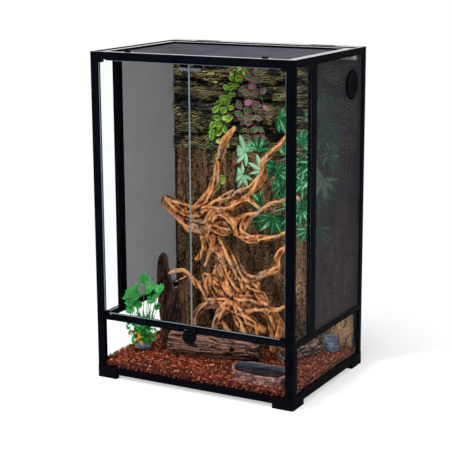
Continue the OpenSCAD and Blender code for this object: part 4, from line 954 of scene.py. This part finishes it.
class TERRARIUM_OT_root_wood(bpy.types.Operator):
    """Root wood: bundles of strands that wind along its limbs"""
    bl_idname = "terrarium.root_wood"
    bl_label = "Root wood"

    # How far round it a strand looks for the grain, how many points show the grain, and the length of a step
    reach = 0.022
    fewest = 8
    step = 0.008

    def strand(self, wood, places, normals, rng):
        """Points and radii of one strand that follows a limb over its surface."""
        start = rng.randrange(len(places))
        at, heading = Vector(places[start]), None
        radius = rng.uniform(0.0020, 0.0058)
        lift, twist = rng.uniform(0.1, 0.75), rng.uniform(-0.28, 0.28)
        points, radii = [], []
        steps = rng.randrange(9, 28)
        for k in range(steps):
            _, at, normal, _ = wood.closest_point_on_mesh(at)
            near = normals[((places - np.array(at)) ** 2).sum(1) < self.reach ** 2]
            if len(near) < self.fewest:
                break
            axis = Vector(np.linalg.eigh(near.T @ near)[1][:, 0])
            if heading is None:
                heading = axis * rng.choice((-1, 1))
            if axis.dot(heading) < 0:
                axis.negate()
            stray = Vector([rng.gauss(0, 0.09) for _ in range(3)])
            turn = heading * 0.6 + axis * 0.55 + normal.cross(axis) * twist + stray
            turn -= normal * turn.dot(normal)
            if turn.length < 0.05 or turn.normalized().dot(heading) < 0.2:
                break
            heading = turn.normalized()
            points.append(at + normal * radius * lift)
            radii.append(radius * (0.35 + 0.65 * math.sin(math.pi * (k + 1) / (steps + 1)) ** 0.6))
            at = at + heading * self.step
        return points, radii

    def execute(self, context):
        s = context.scene.terrarium_wood
        rng = random.Random(s.seed)
        wood = copy_of_node("driftwood", "Root_wood")
        modify(wood, "REMESH", mode="VOXEL", voxel_size=0.004)
        places, normals = skin(wood)
        parts = [wood]
        for _ in range(s.strands):
            points, radii = self.strand(wood, places, normals, rng)
            if len(points) > 4:
                parts.append(tube(points, radii, "Strand", 1))
        wood = join(parts, "Root_wood")
        weather(wood, s.voxel, (clouds((0.022, 0.022, 0.030), 0.004), clouds((0.0065, 0.0065, 0.016), 0.0016)),
                crease=0.7, smoothing=1)
        made = Finish("Root wood", s.root_dark, 0.7, Specular_IOR_Level=0.12)
        # Painted shade and highlight by relief, over the wood's own colours: darkest in the creases between strands,
        # lightest on the raised strands.
        bare = made.shades((0.02, rgb(30, 14, 8)), (0.16, s.root_dark), (0.46, rgb(172, 108, 62)),
                           (0.95, s.root_grain_highlight))
        aged = made.shades((0.02, rgb(28, 17, 12)), (0.16, rgb(84, 58, 44)), (0.46, rgb(132, 98, 74)),
                           (0.95, rgb(186, 150, 120)))
        patch = made.mottle(made.place(), 11, low=0.46, high=0.62, twist=0.6)
        grain = made.mottle(made.place((1, 1, 0.35)), 260, (0.62, 0.6, 0.58), (1.12, 1.1, 1.08), 0.38, 0.62, 1.0)
        body = made.blend(patch["Mask"], bare, aged)
        made.set(Base_Color=made.blend(0.8, body, grain["Color"], "MULTIPLY")).rough(grain["Mask"], 0.62, 0.85)
        made.bump(grain["Height"], 0.5, 0.0010)
        finish_piece(wood, made.material, "frame", "driftwood", "driftwood")
        return {"FINISHED"}


class TERRARIUM_OT_logs(bpy.types.Operator):
    """Ribbed log, grey log and bark slab"""
    bl_idname = "terrarium.logs"
    bl_label = "Logs"

    def execute(self, context):
        s = context.scene.terrarium_wood
        ribbed = weathered("ribbed_log", "Ribbed_log", 0.0021, (
            clouds((0.080, 0.020, 0.018), 0.008), cells((0.100, 0.013, 0.0095), 0.0045),
            clouds((0.024, 0.0035, 0.0035), 0.0030, 3)), crease=0.5, grow=0.003)
        bark = bark_like("Log bark", rgb(24, 14, 11), s.log_dark, s.log_light, rgb(36, 24, 20),
                         50, (0.35, 1.4, 1.4))
        finish_piece(ribbed, bark, "frame", "log", "ribbed_log")
        pale = weathered("grey_log", "Grey_log", 0.0021, (
            clouds((0.014, 0.060, 0.014), 0.008), cells((0.009, 0.034, 0.009), 0.006),
            clouds((0.004, 0.012, 0.004), 0.0026)), crease=0.5, grow=0.002)
        bark = bark_like("Grey bark", rgb(24, 18, 16), rgb(78, 60, 52), rgb(142, 118, 104), rgb(34, 26, 22),
                         60, (1.3, 0.4, 1.3))
        finish_piece(pale, bark, "frame", "log", "grey_log")
        shoulder = primitive("ico_sphere", "Shoulder", subdivisions=3, radius=1, location=place(-182, 17, 184))
        shoulder.scale = (0.023, 0.009, 0.042)
        shoulder.rotation_euler = (math.radians(-16), 0, 0)
        settle(shoulder)
        slab = weathered("bark_slab", "Bark_slab", 0.0026, (
            clouds((0.018, 0.018, 0.100), 0.007, 3), cells((0.010, 0.012, 0.090), 0.0022),
            clouds((0.005, 0.005, 0.020), 0.0024, 3)), crease=0.5, grow=0.003, lumps=(shoulder,))
        bark = bark_like("Slab bark", rgb(14, 8, 7), rgb(46, 28, 23), rgb(88, 58, 48), rgb(24, 15, 13),
                         60, (1.4, 1.4, 0.25))
        finish_piece(slab, bark, "frame", "bark", "bark_slab")
        return {"FINISHED"}


class TERRARIUM_OT_stones(bpy.types.Operator):
    """Slate, water dish and water"""
    bl_idname = "terrarium.stones"
    bl_label = "Stone and water"

    # Thickness of the dish's wall
    wall = 0.008
    # Thickness of the trough's floor
    bottom = 0.006
    # Height of the rim at the front
    lowest = 0.076
    # Depth of the water
    deep = 0.004

    def drum(self, name, half, top, depth):
        """An upright drum with a squared, lobed outline about the dish's middle, half its size on X and Y."""
        low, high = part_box("water_dish")
        middle = (low + high) / 2
        obj = primitive("cylinder", name, vertices=64, radius=1, depth=depth)
        for v in obj.data.vertices:
            turn = math.atan2(v.co.y, v.co.x)
            out = math.hypot(v.co.x, v.co.y) * (abs(math.cos(turn)) ** 3 + abs(math.sin(turn)) ** 3) ** (-1 / 3)
            out *= 1 - 0.03 - 0.03 * math.cos(3 * turn + 0.8)
            v.co = (middle.x + half[0] * out * math.cos(turn), middle.y + half[1] * out * math.sin(turn),
                    v.co.z + top - depth / 2)
        return obj

    def bowl(self):
        """A trough with a rounded rim that is lower at the front: a drum whose top is inset and pushed down."""
        low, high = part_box("water_dish")
        middle, half, tall = (low + high) / 2, (high - low) / 2, high.z - low.z
        obj = self.drum("Water_dish", half, high.z, tall)
        edit(obj, (bpy.ops.mesh.inset, {"thickness": self.wall}),
             (bpy.ops.mesh.extrude_region_move, {"TRANSFORM_OT_translate": {"value": (0, 0, self.bottom - tall)}}),
             faces=lambda normal: normal.z > 0.9)
        weather(obj, 0.0015, (clouds((0.020, 0.020, 0.010), 0.0030, 4), clouds((0.005, 0.005, 0.004), 0.0016)),
                smoothing=8)
        at, normal = skin(obj)
        front = np.clip((middle.y + 0.3 * half.y - at[:, 1]) / (1.2 * half.y), 0, 1)
        at[:, 2] -= (high.z - self.lowest) * front * np.clip((at[:, 2] - low.z) / tall, 0, 1)
        away = (at - np.array(middle)) * (1, 1, 0)
        away /= np.linalg.norm(away, axis=1, keepdims=True) + 1e-9
        floor = (normal[:, 2] > 0.8) * (at[:, 2] < low.z + 2 * self.bottom)
        write(obj, "inner", np.clip(np.clip(-(away * normal).sum(1) * 2, 0, 1) + floor, 0, 1))
        move_points(obj, at)
        keep_inside(obj, low, high)
        return obj

    def pool(self):
        """Water that fills the trough at the level of the water it stands for."""
        low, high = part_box("water_dish")
        gap = self.wall * 0.8
        half = ((high.x - low.x) / 2 - gap, (high.y - low.y) / 2 - gap)
        return self.drum("Water", half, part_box("water")[1].z, self.deep)

    def execute(self, context):
        slate = weathered("slate", "Slate", 0.0016, (clouds((0.018, 0.018, 0.007), 0.005, 4),))
        made = Finish("Slate", rgb(70, 80, 96), 0.7, Specular_IOR_Level=0.15)
        vein = made.mottle(made.place((1, 1, 3)), 50, rgb(58, 66, 80), rgb(104, 116, 134), 0.4, 0.6, 0.8)
        made.set(Base_Color=vein["Color"]).rough(vein["Mask"], 0.55, 0.8).bump(vein["Height"], 0.6, 0.002)
        finish_piece(slate, made.material, "frame", "slate", "slate")
        dish = self.bowl()
        made = Finish("Dish clay", rgb(92, 74, 74), 0.5, Specular_IOR_Level=0.25)
        # By relief: dark in the hollows as painted shade, light on the rises, over the clay's own colour.
        body = made.shades((0.1, rgb(30, 16, 15)), (0.5, rgb(96, 56, 50)), (0.9, rgb(166, 122, 112)))
        clay = made.mottle(made.place((1, 1, 1.6)), 70, low=0.44, high=0.60, twist=1.2)
        grit = made.mottle(made.place(), 420)
        outer = made.blend(clay["Mask"], body, rgb(58, 30, 28))
        made.set(Base_Color=made.blend(made.written("inner"), outer, rgb(54, 60, 68)))
        made.rough(clay["Mask"], 0.4, 0.65).bump(clay["Height"], 0.4, 0.001).bump(grit["Height"], 0.4, 0.0004)
        finish_piece(dish, made.material, "frame", "dish", "water_dish")
        made = Finish("Still water", rgb(24, 22, 27), 0.06, Specular_IOR_Level=0.06)
        depth = made.mottle(made.place(), 18, rgb(18, 17, 21), rgb(44, 42, 50))
        made.set(Base_Color=depth["Color"]).bump(depth["Height"], 0.15, 0.0008)
        finish_piece(self.pool(), made.material, "frame", "water", "water")
        return {"FINISHED"}


# ---- Plants --------------------------------------------------------------------------------

# Half widths of a leaf at even steps of its length
OVAL = (0.06, 0.36, 0.5, 0.46, 0.30, 0.02)
ROUND = (0.2, 0.46, 0.52, 0.5, 0.38, 0.06)
SERRATED = (0.04, 0.20, 0.34, 0.28, 0.46, 0.38, 0.54, 0.42, 0.50, 0.36, 0.40, 0.24, 0.24, 0.10, 0.01)
GRASS = (0.5, 0.5, 0.42, 0.3, 0.16, 0.02)


def blade(name, width, outline, fold, droop=0.12, rows=4):
    """A leaf of length 1 that runs along +Y and faces +Z: folded at its midrib and drooped to its tip."""
    leaf = primitive("grid", name, x_subdivisions=rows, y_subdivisions=len(outline) - 1, size=1)
    for v in leaf.data.vertices:
        t = v.co.y + 0.5
        half = outline[round(t * (len(outline) - 1))] * width
        side = v.co.x * 2
        v.co = (side * half, t, abs(side) * half * fold * 2 - droop * t * t)
    modify(leaf, "SOLIDIFY", thickness=0.02, offset=0)
    smooth(leaf, 60)
    return leaf


def disc(name, lobes, ruffle):
    """A round leaf of radius 1 with a scalloped, ruffled rim, its stalk at the middle. It faces +Z."""
    leaf = primitive("circle", name, vertices=6 * lobes, radius=1, fill_type="NGON")
    edit(leaf, (bpy.ops.mesh.inset, {"thickness": 0.45}), (bpy.ops.mesh.poke, {}))
    for v in leaf.data.vertices:
        out = math.hypot(v.co.x, v.co.y)
        wave = math.cos(lobes * math.atan2(v.co.y, v.co.x))
        grow = 1 + 0.13 * wave * out
        v.co = (v.co.x * grow, v.co.y * grow, -0.16 + 0.2 * out * out + ruffle * wave * out)
    modify(leaf, "SOLIDIFY", thickness=0.03, offset=0)
    smooth(leaf, 60)
    return leaf


def leaf_finish(name, dark, light, edge=None, vein=None, rays=0, shine=0.4, rim=(0.24, 0.36), rib=(0.10, 0.02),
                pale=None):
    """Leaf with mottling, pale veins along the middle or in rays, and a coloured edge where one is given.

    Leaves whose tone is near 1 take the pale colour.
    """
    made = Finish(name, dark, shine, Specular_IOR_Level=0.2)
    patch = made.mottle(made.place(), 150, dark, light, 0.40, 0.62)
    surface = patch["Color"]
    across, up = [made.math("SUBTRACT", part, 0.5) for part in made.axes("TexCoord", "UV")[:2]]
    if rays:
        across = made.math("SINE", made.math("MULTIPLY", made.math("ARCTAN2", up, across), rays / 2))
    away = made.math("ABSOLUTE", across)
    for color, band in ((edge, rim), (vein, rib)):
        if color is not None:
            surface = made.blend(made.ramp(away, *band), surface, color)
    if pale:
        surface = made.blend(made.shades((0.92, BLACK), (0.98, grey(0.5)), name="tone"), surface, pale)
    made.set(Base_Color=made.blend(made.written("tone"), scaled(dark, 0.4), surface))
    return made.rough(patch["Mask"], shine, shine * 1.4).bump(patch["Height"], 0.3, 0.0006).material


class Bouquet:
    """Gathers the leaves and stems of one plant, placed in millimetres, and joins them into its pieces."""
    # Height above which a string has no leaves, and the share of its leaves that are pale
    top = 860
    pale = 0.16

    def __init__(self, seed):
        self.rng = random.Random(seed)
        self.parts = {}

    def add(self, kind, template, at, spin, tilt, turn, size, tone=None):
        """A leaf that points up and faces the doors, then spins about its own face, tilts and turns."""
        shade = 0.45 + 0.45 * self.rng.random() if tone is None else tone
        leaf = copy_of(template, placed(place(*at), (turn, "Z"), (tilt, "X"), (spin, "Z"), size=size), shade)
        self.parts.setdefault(kind, []).append(leaf)

    def stem(self, kind, points, radius):
        obj = tube([place(*p) for p in points], radius, "Stem", 1)
        write(obj, "tone", 0.6)
        self.parts.setdefault(kind, []).append(obj)

    def string(self, kind, template, run, spacing, small, large):
        """A stem through run with leaves to both sides of it."""
        rng = self.rng
        self.stem(kind, run, 0.0011)
        for a, b in zip(run, run[1:]):
            a, b = Vector(a), Vector(b)
            if b.z > self.top:
                continue
            for i in range(max(1, round((b - a).length / spacing))):
                at = a.lerp(b, (i + rng.random()) * spacing / max((b - a).length, spacing))
                for side in (-1, 1):
                    spin = side * rng.uniform(35, 150)
                    shift = Vector((-side * 2, -rng.uniform(1, 9), 0))
                    self.add(kind, template, at + shift, spin, rng.uniform(62, 108), rng.uniform(-24, 30),
                             rng.uniform(small, large), 1.0 if rng.random() < self.pale else None)

    def palmate(self, kind, leaflet, at, spin, tilt, turn, size, tone=None, apart=31, loose=1.0):
        """A fan of seven leaflets round the end of a stalk. A tone of 1 makes it a pale one."""
        for k in range(-3, 4):
            scale = size * (1.06 - 0.11 * abs(k)) * self.rng.uniform(0.9, 1.1)
            bend = [loose * self.rng.uniform(-a, a) for a in (9, 20, 12)]
            self.add(kind, leaflet, at, spin + k * apart + bend[0], tilt + bend[1], turn + bend[2], scale, tone)

    def finish(self, kind, name, material, *nodes):
        finish_piece(join(self.parts[kind], name), material, "frame", "foliage", *nodes)


class TERRARIUM_OT_hanging_vine(bpy.types.Operator):
    """Vine of lime leaves that hangs from the rock, and the red-edged leaves beside it"""
    bl_idname = "terrarium.hanging_vine"
    bl_label = "Hanging vine"

    over = ((-30, 194, 878), (-30, 152, 878))
    over_red = ((20, 194, 878), (20, 152, 878))
    lime = (
        ((-34, 144, 846), (-46, 142, 829), (-76, 140, 786), (-103, 140, 743), (-117, 140, 700), (-124, 140, 652),
         (-137, 140, 616)),
        ((-53, 138, 850), (-60, 138, 804), (-83, 136, 759), (-93, 136, 720), (-110, 136, 677)),
        ((-80, 142, 746), (-92, 138, 690), (-98, 138, 640), (-107, 136, 594), (-110, 134, 549), (-103, 132, 511),
         (-114, 132, 480), (-97, 132, 452)),
    )
    red = (
        ((-6, 140, 858), (-13, 138, 812), (-23, 136, 777), (-30, 136, 735), (-23, 136, 694), (-16, 136, 653),
         (-6, 136, 626)),
        ((27, 142, 848), (17, 138, 796), (27, 138, 762), (33, 138, 733), (40, 138, 706)),
        ((7, 138, 850), (0, 132, 778), (7, 132, 725), (20, 132, 691), (27, 134, 652)),
    )
    tendrils = (
        ((-40, 146, 850), (-95, 140, 780), (-140, 138, 700), (-150, 138, 640), (-128, 138, 596), (-118, 138, 560)),
        ((-70, 140, 800), (-125, 138, 735), (-132, 138, 660), (-146, 136, 610), (-160, 138, 596)),
    )

    def execute(self, context):
        s = context.scene.terrarium_plants
        plant = Bouquet(s.seed)
        oval = blade("Oval leaf", 0.66, OVAL, 0.34)
        for kind, over, runs, spacing, small, large in (("lime", self.over, self.lime, 31, 0.018, 0.030),
                                                        ("red", self.over_red, self.red, 25, 0.019, 0.030)):
            plant.stem(kind, (*over, runs[0][0]), 0.0013)
            for run in runs:
                plant.stem(kind, (over[1], run[0]), 0.0010)
                plant.string(kind, oval, run, spacing, small, large)
        for run in (*self.tendrils, *self.lime):
            plant.stem("stems", [(x, y - 2, z) for x, y, z in run], 0.0015)
        drop(oval)
        plant.finish("lime", "Lime_vine", leaf_finish(
            "Lime leaf", rgb(34, 108, 34), rgb(78, 150, 46), s.lime, rgb(150, 196, 84),
            rim=(0.22, 0.36), pale=rgb(206, 226, 120)), "hanging_vine")
        plant.finish("stems", "Vine_stems", leaf_finish("Vine stem", rgb(10, 84, 40), rgb(20, 124, 60)))
        plant.finish("red", "Red_edged_leaves", leaf_finish(
            "Red-edged leaf", rgb(26, 84, 46), rgb(70, 134, 74), s.red, rgb(120, 168, 96),
            rim=(0.32, 0.44), pale=rgb(226, 130, 178)))
        return {"FINISHED"}


class TERRARIUM_OT_broadleaf(bpy.types.Operator):
    """Palmate leaves on a stem at the right"""
    bl_idname = "terrarium.broadleaf"
    bl_label = "Broadleaf vine"

    run = ((205, 192, 878), (205, 150, 878), (208, 140, 818), (205, 128, 720), (190, 122, 640), (170, 118, 560),
           (150, 112, 480))
    # Each fan: the end of its stalk, then its spin and the length of its middle leaflet
    fans = (
        ((-15, 118, 610), 60, 44), ((21, 125, 620), -20, 40), ((-22, 112, 546), 120, 40), ((37, 120, 561), 20, 38),
        ((83, 112, 583), 150, 46), ((119, 104, 616), -40, 46), ((113, 110, 551), -130, 42), ((47, 100, 466), 80, 44),
        ((81, 96, 436), 170, 46), ((109, 104, 483), -30, 42), ((40, 100, 422), 110, 40), ((135, 98, 442), -140, 44),
        ((168, 100, 648), -20, 48), ((186, 96, 593), -160, 48), ((178, 100, 535), 30, 46), ((177, 96, 464), -60, 46),
        ((195, 90, 410), 180, 44), ((150, 104, 585), 90, 42), ((214, 104, 505), -100, 44), ((160, 98, 500), 140, 42),
        ((240, 59, 728), 0, 46), ((248, 135, 698), 180, 44), ((250, 100, 627), -120, 46), ((250, 66, 562), 150, 46),
        ((246, 45, 430), 180, 50), ((240, 120, 751), 20, 42), ((240, 84, 520), -40, 44))
    # The ends of the stalks with a pale, slim fan
    light_fans = ((-15, 118, 610), (-22, 112, 546), (37, 120, 561), (250, 66, 562))
    # Loose fans that fill the plant out
    more = 14

    def stalk(self, plant, near, at, lift):
        middle = (Vector(near) + Vector(at)) / 2 + Vector((0, -4, lift))
        plant.stem("deep", (near, middle, at), 0.0011)

    def execute(self, context):
        s = context.scene.terrarium_plants
        plant = Bouquet(s.seed + 1)
        rng = plant.rng
        leaflet = blade("Leaflet", 0.36, SERRATED, 0.3, 0.16)
        slim = blade("Slim leaflet", 0.30, SERRATED, 0.2, 0.05)
        plant.stem("deep", self.run, 0.0016)
        for at, spin, size in self.fans:
            near = min(self.run[2:], key=lambda p: (Vector(p) - Vector(at)).length + (60 if p[2] < at[2] else 0))
            self.stalk(plant, near, at, 8)
            if at in self.light_fans:
                plant.palmate("deep", slim, at, spin, 82, 28, size * 1.2 * MM, 1.0, apart=40, loose=0.3)
            else:
                plant.palmate("deep", leaflet, at, spin, rng.uniform(60, 100), rng.uniform(-20, 50),
                              size * 1.15 * MM)
        for _ in range(self.more):
            at = Vector((rng.uniform(95, 250), rng.uniform(84, 128), rng.uniform(420, 740)))
            plant.palmate("deep", leaflet, at, rng.choice((150, 180, 210, 240, 120)), rng.uniform(60, 100),
                          rng.uniform(-20, 40), 48 * MM)
            self.stalk(plant, min(self.run[2:], key=lambda p: (Vector(p) - at).length), at, 6)
        drop(leaflet, slim)
        plant.finish("deep", "Palmate_leaves", leaf_finish(
            "Palmate leaf", rgb(12, 96, 50), s.deep, None, rgb(170, 226, 186),
            shine=0.32, rib=(0.16, 0.03), pale=rgb(186, 232, 194)), "broadleaf_vine")
        low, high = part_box("broadleaf_vine")
        # Leaves may reach past the node's box, but not into the right mesh or the rock panel
        keep_inside(bpy.data.objects["Palmate_leaves"], (low.x - 0.03, -0.06, low.z - 0.06),
                    (0.284, high.y, high.z))
        return {"FINISHED"}


class TERRARIUM_OT_pot_plant(bpy.types.Operator):
    """Round-leaved plant, grass and small flowers in a stone base"""
    bl_idname = "terrarium.pot_plant"
    bl_label = "Pot plant"

    base = (-240, -92, 50)
    # Middle and radius of each round leaf
    leaves = ((-216, -115, 268, 15), (-191, -120, 250, 14), (-160, -125, 249, 15), (-268, -108, 221, 15),
              (-245, -118, 216, 16), (-269, -112, 193, 14), (-264, -120, 172, 13), (-192, -118, 212, 15),
              (-236, -118, 190, 12), (-206, -112, 232, 12), (-176, -116, 226, 13), (-284, -112, 208, 12),
              (-252, -108, 238, 12), (-178, -110, 190, 11))
    # How many blades of grass, small leaves and flowers
    blades, sprigs, flowers = 46, 150, 12

    def execute(self, context):
        s = context.scene.terrarium_plants
        plant = Bouquet(s.seed + 2)
        rng = plant.rng
        leaf = disc("Round leaf", 9, 0.15)
        grass = blade("Grass blade", 0.06, GRASS, 0.3, 0.3)
        small = blade("Small leaf", 0.6, OVAL, 0.2, 0.25)
        base = Vector(self.base)
        for x, y, z, size in self.leaves:
            foot = base + Vector(((x + 240) * 0.2, -6, 26))
            plant.stem("green", (foot, ((x * 2 - 240) / 3, y + 4, 50 + (z - 50) * 0.62), (x, y, z)), 0.0010)
            plant.add("green", leaf, (x, y, z), rng.uniform(0, 360), rng.uniform(28, 66), rng.uniform(-30, 40),
                      size * MM)
        for _ in range(self.blades):
            foot = base + Vector((rng.uniform(-17, 17), rng.uniform(-14, 6), 24))
            plant.add("green", grass, foot, rng.uniform(-24, 24), rng.uniform(70, 104), rng.uniform(-20, 40),
                      rng.uniform(0.045, 0.095))
        for _ in range(self.sprigs):
            up = rng.random()
            at = base + Vector((rng.gauss(0, 17 + 6 * up), rng.uniform(-26, 2), 18 + 74 * up))
            plant.add("green", small, at, rng.uniform(-80, 80), rng.uniform(50, 110), rng.uniform(-50, 60),
                      rng.uniform(0.010, 0.019))
        petal = blade("Petal", 0.7, ROUND, 0.1, -0.1, 2)
        for _ in range(self.flowers):
            at = base + Vector((rng.uniform(-20, 16), rng.uniform(-31, -24), rng.uniform(20, 62)))
            for i in range(5):
                plant.add("flower", petal, at, i * 72, rng.uniform(55, 85), 10, 0.0046)
        drop(leaf, grass, small, petal)
        rock = primitive("ico_sphere", "Plant_base", subdivisions=4, radius=1)
        rock.scale = (0.027, 0.024, 0.017)
        rock.location = place(base.x, base.y, base.z + 16)
        settle(rock)
        roughen(rock, (clouds((0.02, 0.02, 0.014), 0.010, 4),))
        made = Finish("Base stone", rgb(104, 116, 132), 0.75, Specular_IOR_Level=0.15)
        stone = made.mottle(made.place(), 60, rgb(70, 80, 94), rgb(150, 160, 172))
        made.set(Base_Color=stone["Color"]).bump(stone["Height"], 0.6, 0.002)
        finish_piece(rock, made.material, "frame", "slate")
        plant.finish("green", "Pot_plant", leaf_finish(
            "Fresh leaf", rgb(8, 104, 38), s.fresh, None, rgb(140, 220, 124), rays=18, rib=(0.30, 0.02)),
            "pot_plant")
        plant.finish("flower", "Flowers", leaf_finish("Petal", rgb(232, 140, 20), rgb(250, 200, 50)))
        return {"FINISHED"}


# ---- Panel and run -------------------------------------------------------------------------

OPERATORS = (
    TERRARIUM_OT_stage, TERRARIUM_OT_cabinet, TERRARIUM_OT_mesh, TERRARIUM_OT_rock, TERRARIUM_OT_cork,
    TERRARIUM_OT_floor, TERRARIUM_OT_root_wood, TERRARIUM_OT_logs, TERRARIUM_OT_stones,
    TERRARIUM_OT_hanging_vine, TERRARIUM_OT_broadleaf, TERRARIUM_OT_pot_plant,
)


class TERRARIUM_PT_panel(bpy.types.Panel):
    """Pieces and settings of the terrarium"""
    bl_idname = "TERRARIUM_PT_panel"
    bl_label = "Reptile terrarium"
    bl_space_type = "VIEW_3D"
    bl_region_type = "UI"
    bl_category = "Terrarium"

    def draw(self, context):
        layout = self.layout
        for operator in OPERATORS:
            layout.operator(operator.bl_idname)
        for name, kind in GROUPS.items():
            box = layout.box()
            box.label(text=kind.__doc__)
            for key in kind.__annotations__:
                box.prop(getattr(context.scene, name), key)


CLASSES = (*GROUPS.values(), *OPERATORS, TERRARIUM_PT_panel)


def register():
    for cls in CLASSES:
        bpy.utils.register_class(cls)
    for name, kind in GROUPS.items():
        setattr(bpy.types.Scene, name, bpy.props.PointerProperty(type=kind))


def unregister():
    for name in GROUPS:
        delattr(bpy.types.Scene, name)
    for cls in reversed(CLASSES):
        bpy.utils.unregister_class(cls)


def main():
    register()
    for operator in OPERATORS:
        space, name = operator.bl_idname.split(".")
        getattr(getattr(bpy.ops, space), name)()


if __name__ == "__main__":
    main()
